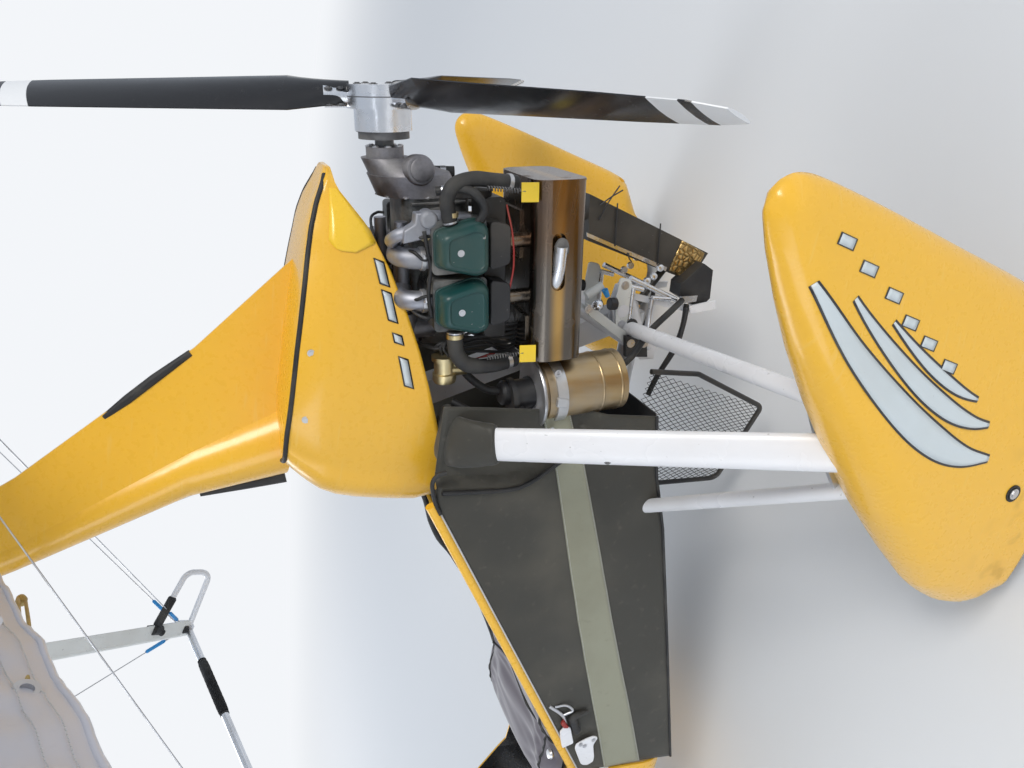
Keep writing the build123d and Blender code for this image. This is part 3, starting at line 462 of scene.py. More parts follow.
@dataclass(frozen=True)
class Blade(Finish):
    """Satin moulded blade: painted tip bands, by distance from the hub, and scattered worn patches."""

    hub: Point = (0.0, 0.0, 0.0)
    band: Colour = (0.78, 0.79, 0.8)
    bands: Point = (0.722, 0.772, 0.792, 0.845)
    slant: float = 0.45
    blur: float = 0.0015

    def draw(self, graph: Graph) -> None:
        """Build the nodes."""
        far = graph.node("ShaderNodeVectorMath", {"operation": "DISTANCE"}, {0: graph.coords, 1: self.hub})
        reach = Value(graph, far.outputs["Value"]) - (graph.y - self.hub[1]) * self.slant
        marks = [reach.ramp(band, band + self.blur) for band in self.bands]
        white = marks[0] - marks[1] + marks[2] - marks[3]
        wear = graph.noise(60.0, 3.0).ramp(0.6, 0.9)
        colour = graph.mix(wear * 0.05, self.colour, (0.2, 0.2, 0.2))
        colour = graph.mix(white, colour, self.band)
        graph.surface({
            "Base Color": colour,
            "Roughness": wear * 0.2 + white * 0.1 + 0.22,
            "Normal": graph.bump(graph.noise(200.0, 2.0), 0.04, 0.0006),
        })


@dataclass(frozen=True)
class Foil(Finish):
    """Crinkled metal foil, darker brown in its creases as painted shade."""

    def draw(self, graph: Graph) -> None:
        """Build the nodes."""
        crease = graph.cells(70.0)
        graph.surface({
            # The dark brown along the creases is painted shade.
            "Base Color": graph.mix(crease.ramp(0.0, 0.3), (0.3, 0.2, 0.08), self.colour),
            "Metallic": 0.9,
            "Roughness": crease * 0.4 + 0.2,
            "Normal": graph.bump(crease, 0.8, 0.003),
        })


@dataclass(frozen=True)
class Foam(Finish):
    """Closed-cell foam sleeve, worn shiny where it is held."""

    def draw(self, graph: Graph) -> None:
        """Build the nodes."""
        cell = graph.cells(650.0)
        worn = graph.noise(12.0, 4.0).ramp(0.5, 0.75)
        graph.surface({
            "Base Color": graph.mix(worn * 0.25, self.colour, (0.09, 0.09, 0.09)),
            "Roughness": 0.9 - worn * 0.3,
            "Normal": graph.bump(cell, 0.5, 0.0012),
        })


YELLOW = GelCoat("yellow_gel_coat", (0.9, 0.5, 0.035))
LINED = GelCoat("lined_gel_coat", (0.9, 0.5, 0.035), lined=1.0)
# Lighter copy of the yellow gel coat: a painted highlight at the cowl's tail.
YELLOW_HIGHLIGHT = GelCoat("bright_gel_coat", (0.95, 0.6, 0.03), faded=(0.93, 0.53, 0.03))
WHITE = Paint("white_stove_paint", (0.82, 0.82, 0.84), roughness=0.26)
PALE = Paint("pale_strut_paint", (0.78, 0.79, 0.76), roughness=0.3)
BLACK = Paint("black_satin_paint", (0.018, 0.018, 0.02), roughness=0.38)
TEAL = Paint("teal_cover_paint", (0.008, 0.055, 0.052), roughness=0.34, chips=0.8)
DARK_CAST = Metal("dark_cast_alloy", (0.1, 0.1, 0.1), roughness=0.5, depth=0.5, dull=0.7, grain_scale=140.0)
# Near-black cast alloy for the heads, cylinders and crankcase.
HEAD_CAST = Metal("sooty_cast_alloy", (0.045, 0.05, 0.05), roughness=0.5, depth=0.5, dull=0.8, grain_scale=140.0)
CAST = Metal("cast_alloy", (0.2, 0.19, 0.21), roughness=0.42, depth=0.45, dull=0.6, grain_scale=160.0)
ALLOY = Metal("satin_alloy", (0.62, 0.63, 0.65), roughness=0.3)
POLISHED = Metal("polished_alloy", (0.8, 0.81, 0.84), roughness=0.14, depth=0.04, dull=0.12)
CAST_BRIGHT = Metal("bright_cast_alloy", (0.34, 0.35, 0.4), roughness=0.4, depth=0.35, dull=0.35, grain_scale=120.0)
BRASS = Metal("gold_passivated", (0.62, 0.5, 0.24), roughness=0.26, depth=0.06, dull=0.4)
# Near-black steel: soot, and painted shade for the inside of the tail pipe's mouth.
SOOT_AND_SHADE = Metal("sooted_steel", (0.03, 0.03, 0.03), roughness=0.6, dull=0.8)
STEEL = Metal("bright_steel", (0.6, 0.6, 0.62), roughness=0.22)
DARK_STEEL = Metal("oiled_steel", (0.08, 0.08, 0.085), roughness=0.4, dull=0.5)
HEATED = HeatSteel("heat_tinted_steel", (0.16, 0.14, 0.12))
CAN = Metal("stainless_can", (0.4, 0.27, 0.11), roughness=0.26, grain=(1.0, 1.0, 0.06), depth=0.05, dull=0.5)
RUBBER = Rubber("black_rubber", (0.016, 0.016, 0.017))
TYRE = Rubber("tyre_rubber", (0.02, 0.02, 0.021), roughness=0.72, dusty=0.55, bloom=(0.2, 0.17, 0.12))
PLASTIC = Rubber("black_plastic", (0.022, 0.022, 0.024), roughness=0.42, dusty=0.15, pits=0.2)
YELLOW_TAB = Paint("yellow_tab_paint", (0.9, 0.62, 0.02), roughness=0.4)
RED = Paint("red_paint", (0.3, 0.015, 0.012), roughness=0.35)
BLUE = Rubber("blue_sleeve", (0.03, 0.3, 0.7), roughness=0.35, dusty=0.1)
GREY_MARK = Paint("pale_grey_mark", (0.62, 0.68, 0.7), roughness=0.3, chips=0.2)
DARK_MARK = Paint("dark_mark", (0.02, 0.022, 0.03), roughness=0.3, chips=0.1)
CHARCOAL = Weave("charcoal_cloth", (0.04, 0.038, 0.03), sheen=0.15, coated=0.1)
BAND_CLOTH = Weave("band_cloth", (0.3, 0.3, 0.22), stain=(0.16, 0.15, 0.1), stained=0.45)
SEAT_CLOTH = Weave("seat_cloth", (0.12, 0.105, 0.13), thread=0.0022, sheen=0.5, stain=(0.14, 0.13, 0.14))
SAIL_CLOTH = Weave("sail_cloth", (0.78, 0.79, 0.8), roughness=0.5, sheen=0.1, stain=(0.6, 0.6, 0.57), coated=0.15)
SILVER_CLOTH = Weave("silver_cloth", (0.66, 0.66, 0.72), roughness=0.4, stain=(0.5, 0.5, 0.56), coated=0.4)
THREAD = Rubber("pale_thread", (0.6, 0.6, 0.6), roughness=0.7, dusty=0.1)
BUNGEE = Rubber("tan_bungee", (0.5, 0.36, 0.12), roughness=0.7, dusty=0.2)
NET = Rubber("dark_net", (0.02, 0.025, 0.02), roughness=0.6)
FOIL = Foil("gold_foil", (0.75, 0.52, 0.22))
FOAM = Foam("black_foam", (0.014, 0.014, 0.015))
CLEAR = Screen("clear_acrylic", (0.82, 0.87, 0.9))


# Frames and forms


@dataclass(frozen=True)
class Frame:
    """Where pieces are drawn: a matrix from millimetres to metres, and the body they ride on."""

    matrix: Matrix
    body: Body


class Frames:
    """The four frames of the aircraft."""

    def __init__(self) -> None:
        """Read the main axle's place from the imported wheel."""
        low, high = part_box("port_rim")
        move = Matrix.Translation
        tilt, sweep, bank = (Matrix.Rotation(radians(a), 4, x) for a, x in ((10, "X"), (-19, "X"), (17, "Y")))
        body = move((0, (low.y + high.y) / 2, 0)) @ Matrix.Scale(MM, 4)
        engine = body @ move((0, 170, 1070)) @ tilt
        hub = engine @ move((0, 336.5, 92)) @ basis((1, 0, 0), (0, 0, -1), (0, 1, 0))
        wing = body @ move((0, -800, 2440)) @ sweep @ move((0, 0, 90)) @ bank
        self.body, self.engine = Frame(body, Body.TRIKE), Frame(engine, Body.TRIKE)
        self.hub, self.wing = Frame(hub, Body.PROP), Frame(wing, Body.WING)


def basis(x_axis: Point, y_axis: Point, z_axis: Point) -> Matrix:
    """Matrix whose columns are three axes."""
    return Matrix((x_axis, y_axis, z_axis)).transposed().to_4x4()


def enter(name: str, data: bpy.types.ID) -> bpy.types.Object:
    """Put a mesh, lamp or camera in the scene as an object."""
    made = bpy.data.objects.new(name, data)
    bpy.context.scene.collection.objects.link(made)
    return made


def level(table: Sequence[Point], at: float, column: int = 1) -> float:
    """Value of a table of stations at one station, level past its last."""
    for one, two in zip(table, table[1:]):
        if at <= two[0]:
            return one[column] + (two[column] - one[column]) * (at - one[0]) / (two[0] - one[0])
    return table[-1][column]


def at(x: float, *pairs: Point) -> list[Vector]:
    """Points at one distance out, given as pairs of y and z."""
    return [Vector((x, y, z)) for y, z in pairs]


def rounded(points: Sequence[Point], bend: float, steps: int = 6) -> list[Vector]:
    """Straight runs joined by arcs.

    Args:
        points: The corners.
        bend: How far from a corner its arc starts.
        steps: Segments of an arc.

    Returns:
        The points of the path.
    """
    corners = [Vector(p) for p in points]
    path = [corners[0]]
    for before, corner, after in zip(corners, corners[1:], corners[2:]):
        reach = min(bend, (corner - before).length / 2, (after - corner).length / 2)
        start = corner + (before - corner).normalized() * reach
        end = corner + (after - corner).normalized() * reach
        for i in range(steps + 1):
            t = i / steps
            path.append(start * (1 - t) ** 2 + corner * 2 * t * (1 - t) + end * t * t)
    path.append(corners[-1])
    return path


def closed(points: Sequence[Point], bend: float) -> list[Vector]:
    """Closed outline with rounded corners, without its repeated last point.

    Args:
        points: The corners.
        bend: How far from a corner its arc starts.

    Returns:
        The points of the outline.
    """
    corners = [Vector(p) for p in points]
    middle = (corners[0] + corners[-1]) / 2
    return rounded([middle, *corners, middle], bend, 5)[:-1]


def flowing(points: Sequence[Point], steps: int = 8) -> list[Vector]:
    """Smooth curve through points.

    Args:
        points: What it passes through.
        steps: Segments between two points.

    Returns:
        The points of the path.
    """
    knots = [Vector(p) for p in points]
    knots = [knots[0] * 2 - knots[1], *knots, knots[-1] * 2 - knots[-2]]
    path = []
    for a, b, c, d in zip(knots, knots[1:], knots[2:], knots[3:]):
        for i in range(steps):
            t = i / steps
            square, cube = a * 2 - b * 5 + c * 4 - d, b * 3 - a - c * 3 + d
            path.append((b * 2 + (c - a) * t + square * t * t + cube * t**3) / 2)
    return [*path, knots[-2]]


def arc(first: Point, middle: Point, last: Point, steps: int) -> list[tuple[float, float]]:
    """Flat circle arc through three points.

    Args:
        first: Its start, a pair.
        middle: A point on it.
        last: Its end.
        steps: Segments.

    Returns:
        The points of the arc, as pairs.
    """
    (ax, ay), (bx, by), (cx, cy) = first, middle, last
    d = 2 * (ax * (by - cy) + bx * (cy - ay) + cx * (ay - by))
    sa, sb, sc = ax * ax + ay * ay, bx * bx + by * by, cx * cx + cy * cy
    ux = (sa * (by - cy) + sb * (cy - ay) + sc * (ay - by)) / d
    uy = (sa * (cx - bx) + sb * (ax - cx) + sc * (bx - ax)) / d
    start, mid, end = (atan2(y - uy, x - ux) for x, y in (first, middle, last))
    sweep = (end - start) % FULL_TURN
    if (mid - start) % FULL_TURN > sweep:
        sweep -= FULL_TURN
    radius = hypot(ax - ux, ay - uy)
    turns = (start + sweep * i / steps for i in range(steps + 1))
    return [(ux + radius * cos(t), uy + radius * sin(t)) for t in turns]


class Form:
    """A mesh drawn in millimetres of one frame."""

    def __init__(self, frame: Frame) -> None:
        """Start empty in a frame."""
        self.frame = frame
        self.mesh = bmesh.new()

    def faces(self, rings: list[list[Vector]], closed: bool, caps: bool) -> "Form":
        """Skin a row of rings.

        Args:
            rings: Lists of as many points each.
            closed: Whether each ring closes on itself.
            caps: Whether the two ends are filled.

        Returns:
            This form.
        """
        rows = [[self.mesh.verts.new(p) for p in ring] for ring in rings]
        count = len(rows[0])
        for one, two in zip(rows, rows[1:]):
            for i in range(count if closed else count - 1):
                j = (i + 1) % count
                self.mesh.faces.new((one[i], one[j], two[j], two[i]))
        if caps:
            self.mesh.faces.new(list(reversed(rows[0])))
            self.mesh.faces.new(rows[-1])
        return self

    def tube(self, path: Sequence[Point], radius: float | Sequence[float], sides: int = 14) -> "Form":
        """Round tube along a path.

        Args:
            path: The points of its middle line.
            radius: One radius, or one for each point.
            sides: Facets round it.

        Returns:
            This form.
        """
        points = [Vector(p) for p in path]
        radii = list(radius) if isinstance(radius, (list, tuple)) else [radius] * len(points)
        across = (points[1] - points[0]).normalized().orthogonal().normalized()
        rings = []
        for i, point in enumerate(points):
            after, before = points[min(i + 1, len(points) - 1)], points[max(i - 1, 0)]
            tangent = (after - before).normalized()
            across = (across - tangent * across.dot(tangent)).normalized()
            up = tangent.cross(across)
            turns = (FULL_TURN * k / sides for k in range(sides))
            rings.append([point + (across * cos(t) + up * sin(t)) * radii[i] for t in turns])
        return self.faces(rings, True, True)

    def turned(self, origin: Point, axis: Point, profile: Sequence[Point], sides: int = 28) -> "Form":
        """Lathe work.

        Args:
            origin: Where the axis starts.
            axis: Its direction.
            profile: Pairs of distance along the axis and radius.
            sides: Facets round it.

        Returns:
            This form.
        """
        start, ahead = Vector(origin), Vector(axis).normalized()
        across = ahead.orthogonal().normalized()
        up = ahead.cross(across)
        rings = []
        for along, radius in profile:
            middle, wide = start + ahead * along, max(radius, LEAST_RADIUS)
            turns = (FULL_TURN * k / sides for k in range(sides))
            rings.append([middle + (across * cos(t) + up * sin(t)) * wide for t in turns])
        return self.faces(rings, True, True)

    def slab(self, outline: Sequence[Point], depth: Point) -> "Form":
        """Flat plate from an outline and the vector of its thickness."""
        low = [Vector(p) for p in outline]
        return self.faces([low, [p + Vector(depth) for p in low]], True, True)

    def stacked(self, rings: Sequence[Sequence[Point]]) -> "Form":
        """Closed skin over outlines of as many points each."""
        return self.faces([[Vector(p) for p in ring] for ring in rings], True, True)

    def hose(self, points: Sequence[Point], radius: float | Sequence[float], sides: int) -> "Form":
        """Tube along a smooth curve through points."""
        return self.tube(flowing(points), radius, sides)

    def band(
        self, origin: Point, axis: Point, inner: float, outer: float, long: float, sides: int = 28
    ) -> "Form":
        """Flat ring round an axis, from its inner to its outer radius."""
        return self.turned(origin, axis, [(0, inner), (0, outer), (long, outer), (long, inner)], sides)

    def block(self, low: Point, high: Point) -> "Form":
        """Box between two corners."""
        (x, y, z), (a, b, c) = low, high
        return self.slab([(x, y, z), (a, y, z), (a, b, z), (x, b, z)], (0, 0, c - z))

    def skin(self, rows: Sequence[Sequence[Point]]) -> "Form":
        """Open sheet over rows of points, with a map of its cut in metres.

        Args:
            rows: Rows of as many points each.

        Returns:
            This form.
        """
        grid = [[Vector(p) for p in row] for row in rows]
        layer = self.mesh.loops.layers.uv.get("cut") or self.mesh.loops.layers.uv.new("cut")
        made = [[self.mesh.verts.new(p) for p in row] for row in grid]
        down = [0.0]
        for one, two in zip(grid, grid[1:]):
            middle = len(one) // 2
            down.append(down[-1] + (two[middle] - one[middle]).length * MM)
        across = [[0.0] for _ in grid]
        for row, marks in zip(grid, across):
            for one, two in zip(row, row[1:]):
                marks.append(marks[-1] + (two - one).length * MM)
        for i in range(len(grid) - 1):
            for j in range(len(grid[0]) - 1):
                corners = ((i, j), (i + 1, j), (i + 1, j + 1), (i, j + 1))
                face = self.mesh.faces.new([made[a][b] for a, b in corners])
                for loop, (a, b) in zip(face.loops, corners):
                    loop[layer].uv = (down[a], across[a][b])
        return self

    def make(
        self, name: str, finish: Finish, slot: str, replaces: str = "", bevel: float = 0.0, sharp: float = 40.0,
        thick: float = 0.0, smooth: int = 0,
    ) -> bpy.types.Object:
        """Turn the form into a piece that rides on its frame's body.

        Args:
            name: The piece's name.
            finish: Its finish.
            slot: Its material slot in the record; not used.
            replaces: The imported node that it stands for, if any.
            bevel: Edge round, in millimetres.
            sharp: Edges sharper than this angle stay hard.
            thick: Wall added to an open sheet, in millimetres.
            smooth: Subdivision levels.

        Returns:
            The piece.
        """
        bmesh.ops.remove_doubles(self.mesh, verts=self.mesh.verts, dist=MERGE_DISTANCE)
        if not self.mesh.loops.layers.uv:
            bmesh.ops.recalc_face_normals(self.mesh, faces=self.mesh.faces)
        mesh = bpy.data.meshes.new(name)
        self.mesh.to_mesh(mesh)
        self.mesh.free()
        mesh.transform(self.frame.matrix)
        for polygon in mesh.polygons:
            polygon.use_smooth = True
        mesh.set_sharp_from_angle(angle=radians(sharp))
        piece = enter(name, mesh)
        mesh.materials.append(finish.material())
        if thick:
            wall = piece.modifiers.new("wall", "SOLIDIFY")
            wall.thickness, wall.offset = thick * MM, 0.0
        if bevel:
            edge = piece.modifiers.new("edge", "BEVEL")
            edge.width, edge.segments, edge.limit_method = bevel * MM, 2, "ANGLE"
            edge.angle_limit = radians(BEVEL_ANGLE)
        if smooth:
            surface = piece.modifiers.new("smooth", "SUBSURF")
            surface.levels = surface.render_levels = smooth
        return register(piece, self.frame.body, replaces)


def register(piece: bpy.types.Object, body: Body, replaces: str = "") -> bpy.types.Object:
    """Args:
        piece: The piece.
        body: What it rides on.
        replaces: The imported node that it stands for, if any.

    Returns:
        The piece.
    """
    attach(piece, body.value)
    if replaces:
        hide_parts(replaces)
    LOG.info("made %s", piece.name)
    return piece


# Geometry nodes


class Tree(Nodes):
    """Geometry node group built in Python."""

    def __init__(self, name: str, inputs: Sequence[tuple[str, str, object]]) -> None:
        """Start a group.

        Args:
            name: The group's name.
            inputs: Name, kind and value of each input beside the geometry and the finish.
        """
        super().__init__(bpy.data.node_groups.new(name, "GeometryNodeTree"))
        face = self.tree.interface
        face.new_socket("Geometry", in_out="INPUT", socket_type="NodeSocketGeometry")
        face.new_socket("Finish", in_out="INPUT", socket_type="NodeSocketMaterial")
        for label, kind, value in inputs:
            made = face.new_socket(label, in_out="INPUT", socket_type=f"NodeSocket{kind}")
            made.default_value = value
        face.new_socket("Geometry", in_out="OUTPUT", socket_type="NodeSocketGeometry")
        self.source = self.tree.nodes.new("NodeGroupInput").outputs

    def times(self, label: str, factor: float) -> Socket:
        """One named input times a number."""
        return self.node("ShaderNodeMath", {"operation": "MULTIPLY"}, {0: self.source[label], 1: factor}).outputs[0]

    def cylinder(self, sides: int, radius: Socket, depth: Socket) -> Socket:
        """Mesh of a cylinder."""
        inputs = {"Vertices": sides, "Radius": radius, "Depth": depth}
        return self.node("GeometryNodeMeshCylinder", None, inputs).outputs["Mesh"]

    def repeat(self, points: Socket, shape: Socket, turn: Socket) -> None:
        """Set a shape on points, turned, and end the group."""
        inputs = {"Points": points, "Instance": shape, "Rotation": turn}
        self.end(self.node("GeometryNodeInstanceOnPoints", None, inputs).outputs[0])

    def end(self, geometry: Socket) -> None:
        """Realize the instances, set the finish and leave the group."""
        real = self.node("GeometryNodeRealizeInstances", None, {"Geometry": geometry})
        inputs = {"Geometry": real.outputs[0], "Material": self.source["Finish"]}
        dressed = self.node("GeometryNodeSetMaterial", None, inputs)
        self.node("NodeGroupOutput", None, {"Geometry": dressed.outputs[0]})

    def run(
        self, held: bpy.types.Object, name: str, finish: Finish, body: Body, slot: str = "", **sizes: float
    ) -> None:
        """Evaluate the group on a carrier and keep the result as a plain mesh.

        Args:
            held: The carrier of the points or paths, removed afterwards.
            name: The piece's name.
            finish: Its finish.
            body: What it rides on.
            slot: Its material slot in the record, if it has one; not used.
            sizes: Named inputs, in millimetres.
        """
        modifier = held.modifiers.new("grow", "NODES")
        modifier.node_group = self.tree
        given = {"Finish": finish.material(), **{key: size * MM for key, size in sizes.items()}}
        for item in self.tree.interface.items_tree:
            if item.in_out == "INPUT" and item.name in given:
                modifier[item.identifier] = given[item.name]
        graph = bpy.context.evaluated_depsgraph_get()
        mesh = bpy.data.meshes.new_from_object(held.evaluated_get(graph), depsgraph=graph)
        bpy.data.objects.remove(held)
        register(enter(name, mesh), body)


def carrier(
    name: str, points: Sequence[Vector], edges: Sequence[tuple[int, int]] = (), facing: Sequence[Vector] = ()
) -> bpy.types.Object:
    """Object that only holds points.

    Args:
        name: Its name.
        points: The points, in metres.
        edges: Pairs of points that are joined.
        facing: The way each point faces.

    Returns:
        The object.
    """
    mesh = bpy.data.meshes.new(name)
    mesh.from_pydata([tuple(p) for p in points], list(edges), [])
    if facing:
        ways = mesh.attributes.new("facing", "FLOAT_VECTOR", "POINT")
        ways.data.foreach_set("vector", [c for v in facing for c in v])
    return enter(name, mesh)


class BoltTree(Tree):
    """A hexagon head on a washer at every point, facing its own way."""

    def __init__(self) -> None:
        """Build the group."""
        super().__init__("bolt_heads", (("Radius", "Float", 0.005), ("Height", "Float", 0.004)))
        head = self.cylinder(6, self.source["Radius"], self.source["Height"])
        washer = self.cylinder(16, self.times("Radius", 1.55), self.times("Height", 0.35))
        both = self.node("GeometryNodeJoinGeometry")
        self.tree.links.new(head, both.inputs[0])
        self.tree.links.new(washer, both.inputs[0])
        way = self.node("GeometryNodeInputNamedAttribute", {"data_type": "FLOAT_VECTOR"}, {"Name": "facing"})
        turn = self.node("FunctionNodeAlignRotationToVector", {"axis": "Z"}, {"Vector": way.outputs[0]})
        self.repeat(self.source["Geometry"], both.outputs[0], turn.outputs[0])

    def place(
        self, name: str, spots: Sequence[tuple[Point, Point]], frame: Frame, size: Point, finish: Finish = STEEL,
        slot: str = "steel_wire",
    ) -> None:
        """Put bolts at places.

        Args:
            name: The piece's name.
            spots: Pairs of a place and the way it faces.
            frame: The frame of both.
            size: Radius and height of the heads, in millimetres.
            finish: Their finish.
            slot: Their material slot in the record, passed on but not used.
        """
        turn = frame.matrix.to_3x3().normalized()
        points = [frame.matrix @ Vector(spot) for spot, _ in spots]
        held = carrier(name + "_spots", points, (), [(turn @ Vector(way)).normalized() for _, way in spots])
        self.run(held, name, finish, frame.body, slot, Radius=size[0], Height=size[1])


class StitchTree(Tree):
    """Short threads laid end to end along a path."""

    def __init__(self) -> None:
        """Build the group."""
        super().__init__("stitches", (("Pitch", "Float", 0.006), ("Thread", "Float", 0.0006)))
        path = self.node("GeometryNodeMeshToCurve", None, {"Mesh": self.source["Geometry"]}).outputs[0]
        inputs = {"Curve": path, "Length": self.source["Pitch"]}
        spots = self.node("GeometryNodeCurveToPoints", {"mode": "LENGTH"}, inputs).outputs
        thread = self.cylinder(5, self.source["Thread"], self.times("Pitch", 0.6))
        self.repeat(spots["Points"], thread, spots["Rotation"])

    def sew(self, name: str, path: Sequence[Point], frame: Frame, pitch: float, thread: float) -> None:
        """Sew along a path.

        Args:
            name: The piece's name.
            path: The points of the seam.
            frame: Their frame.
            pitch: Length of a stitch and its gap, in millimetres.
            thread: Radius of the thread.
        """
        points = [frame.matrix @ Vector(p) for p in path]
        held = carrier(name + "_path", points, [(i, i + 1) for i in range(len(points) - 1)])
        self.run(held, name, THREAD, frame.body, Pitch=pitch, Thread=thread)


class NetTree(Tree):
    """Round cord along every edge of a mesh."""

    def __init__(self) -> None:
        """Build the group."""
        super().__init__("net_cords", (("Cord", "Float", 0.001),))
        path = self.node("GeometryNodeMeshToCurve", None, {"Mesh": self.source["Geometry"]}).outputs[0]
        ring = self.node("GeometryNodeCurvePrimitiveCircle", None, {"Resolution": 5, "Radius": self.source["Cord"]})
        inputs = {"Curve": path, "Profile Curve": ring.outputs[0]}
        self.end(self.node("GeometryNodeCurveToMesh", None, inputs).outputs[0])


# Sub-assemblies


class Kit:
    """What every sub-assembly shares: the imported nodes, the frames and the node groups."""

    def __init__(self, nodes: dict) -> None:
        """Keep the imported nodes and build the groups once."""
        self.nodes, self.frames = nodes, Frames()
        self.bolts, self.stitches, self.net = BoltTree(), StitchTree(), NetTree()

    def dress(self, finish: Finish, *names: str) -> None:
        """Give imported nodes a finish."""
        for name in names:
            mesh = self.nodes[name].data
            mesh.materials.clear()
            mesh.materials.append(finish.material())
            LOG.info("dressed %s", name)


@dataclass
class Assembly:
    """A group of pieces, with the frames that they are drawn in."""

    kit: Kit

    def __post_init__(self) -> None:
        kit, frames = self.kit, self.kit.frames
        self.body, self.engine, self.hub, self.wing = frames.body, frames.engine, frames.hub, frames.wing
        self.bolts, self.stitches, self.net, self.dress = kit.bolts, kit.stitches, kit.net, kit.dress

    def build(self) -> None:
        """Build and dress the pieces."""
        raise NotImplementedError


@dataclass
class Studio(Assembly):
    """Floor, light and the camera at the photograph's angle."""

    eye: Point = (1.70, 0.485, 1.57)
    pitch: float = 22.8
    roll: float = 2.2
    heading: float = 20.3
    lens: float = 27.07
    floor_radius: float = 60.0
    fade: Point = (4.0, 11.0)
    backdrop: Colour = (0.9, 0.92, 0.95)
    sky: Colour = (0.8, 0.88, 1.0)
    sky_strength: float = 0.62

    def camera(self) -> None:
        """Place the camera, which was held on its side."""
        pitch, roll, heading = radians(self.pitch), radians(self.roll), radians(self.heading)
        up = Vector((0, 0, 1))
        ahead = Vector((-cos(heading), -sin(heading), 0))
        aside = Vector((-sin(heading), cos(heading), 0))
        view = ahead * cos(pitch) - up * sin(pitch)
        tilted = ahead * sin(pitch) + up * cos(pitch)
        down = aside * sin(roll) - tilted * cos(roll)
        right = aside * cos(roll) + tilted * sin(roll)
        data = bpy.data.cameras.new("camera")
        data.lens, data.sensor_width, data.clip_end = self.lens, 36.0, 200.0
        camera = enter("camera", data)
        place = self.body.matrix @ (Vector(self.eye) / MM)
        camera.matrix_world = Matrix.Translation(place) @ basis(down, right, -view)
        bpy.context.scene.camera = camera

    def lamp(self, name: str, place: Point, target: Point, size: float, power: float, colour: Colour) -> None:
        """Add one soft square lamp.

        Args:
            name: Its name.
            place: Where it hangs, in metres.
            target: What it points at.
            size: Its width.
            power: Its strength in watts.
            colour: Its colour.
        """
        data = bpy.data.lights.new(name, "AREA")
        data.size, data.energy, data.color = size, power, colour
        turn = (Vector(target) - Vector(place)).to_track_quat("-Z", "Y").to_matrix().to_4x4()
        enter(name, data).matrix_world = Matrix.Translation(place) @ turn

    def plain(self, graph: Graph, lit: Socket) -> Socket:
        """Mix a lit shader with the plain backdrop colour for the camera and for reflections.

        Args:
            graph: The floor's material.
            lit: The lit shader.

        Returns:
            The mixed shader.
        """
        path = graph.node("ShaderNodeLightPath").outputs
        seen = Value(graph, path["Is Camera Ray"]) + Value(graph, path["Is Glossy Ray"])
        seen = (seen + Value(graph, path["Is Transmission Ray"])).math("MINIMUM", 1.0)
        glow = graph.node("ShaderNodeEmission", None, {"Color": self.backdrop, "Strength": 1.0})
        return graph.node("ShaderNodeMixShader", None, {0: seen, 1: lit, 2: glow.outputs[0]}).outputs[0]

    def floor(self) -> None:
        """Lay the pale floor, which fades into the backdrop."""
        graph = Graph("pale_floor")
        inputs = {"Base Color": (0.74, 0.75, 0.76), "Roughness": 0.8}
        lit = graph.node("ShaderNodeBsdfPrincipled", None, inputs).outputs[0]
        far = graph.node("ShaderNodeVectorMath", {"operation": "LENGTH"}, {0: graph.coords})
        fade = Value(graph, far.outputs["Value"]).ramp(*self.fade)
        mixed = graph.node("ShaderNodeMixShader", None, {0: fade, 1: lit, 2: self.plain(graph, lit)})
        graph.node("ShaderNodeOutputMaterial", None, {"Surface": mixed.outputs[0]})
        mesh = bpy.data.meshes.new("floor")
        sheet = bmesh.new()
        bmesh.ops.create_circle(sheet, cap_ends=True, segments=96, radius=self.floor_radius)
        sheet.to_mesh(mesh)
        sheet.free()
        mesh.materials.append(graph.material)
        enter("floor", mesh)

    def world(self) -> None:
        """Set the world's light and its plain backdrop."""
        world = bpy.data.worlds.new("studio")
        world.use_nodes = True
        nodes = Nodes(world.node_tree)
        path = nodes.node("ShaderNodeLightPath").outputs
        rays = {0: path["Is Camera Ray"], 1: path["Is Transmission Ray"]}
        seen = nodes.node("ShaderNodeMath", {"operation": "ADD", "use_clamp": True}, rays)
        light = nodes.node("ShaderNodeBackground", None, {0: self.sky, 1: self.sky_strength})
        plain = nodes.node("ShaderNodeBackground", None, {0: self.backdrop, 1: 1.0})
        inputs = {0: seen.outputs[0], 1: light.outputs[0], 2: plain.outputs[0]}
        mixed = nodes.node("ShaderNodeMixShader", None, inputs)
        nodes.node("ShaderNodeOutputWorld", None, {0: mixed.outputs[0]})
        bpy.context.scene.world = world

    def build(self) -> None:
        """Set up the whole studio."""
        self.camera()
        self.floor()
        self.world()
        self.lamp("key_lamp", (3.5, 5.5, 6.5), (0, 0.6, 1.0), 3.0, 360.0, (1.0, 0.96, 0.9))
        self.lamp("fill_lamp", (6.0, -3.0, 4.0), (0, 0.2, 0.8), 5.0, 172.0, (0.92, 0.96, 1.0))
        self.lamp("front_lamp", (-4.0, -7.0, 5.0), (0, -1.0, 0.8), 4.0, 190.0, (1.0, 1.0, 1.0))


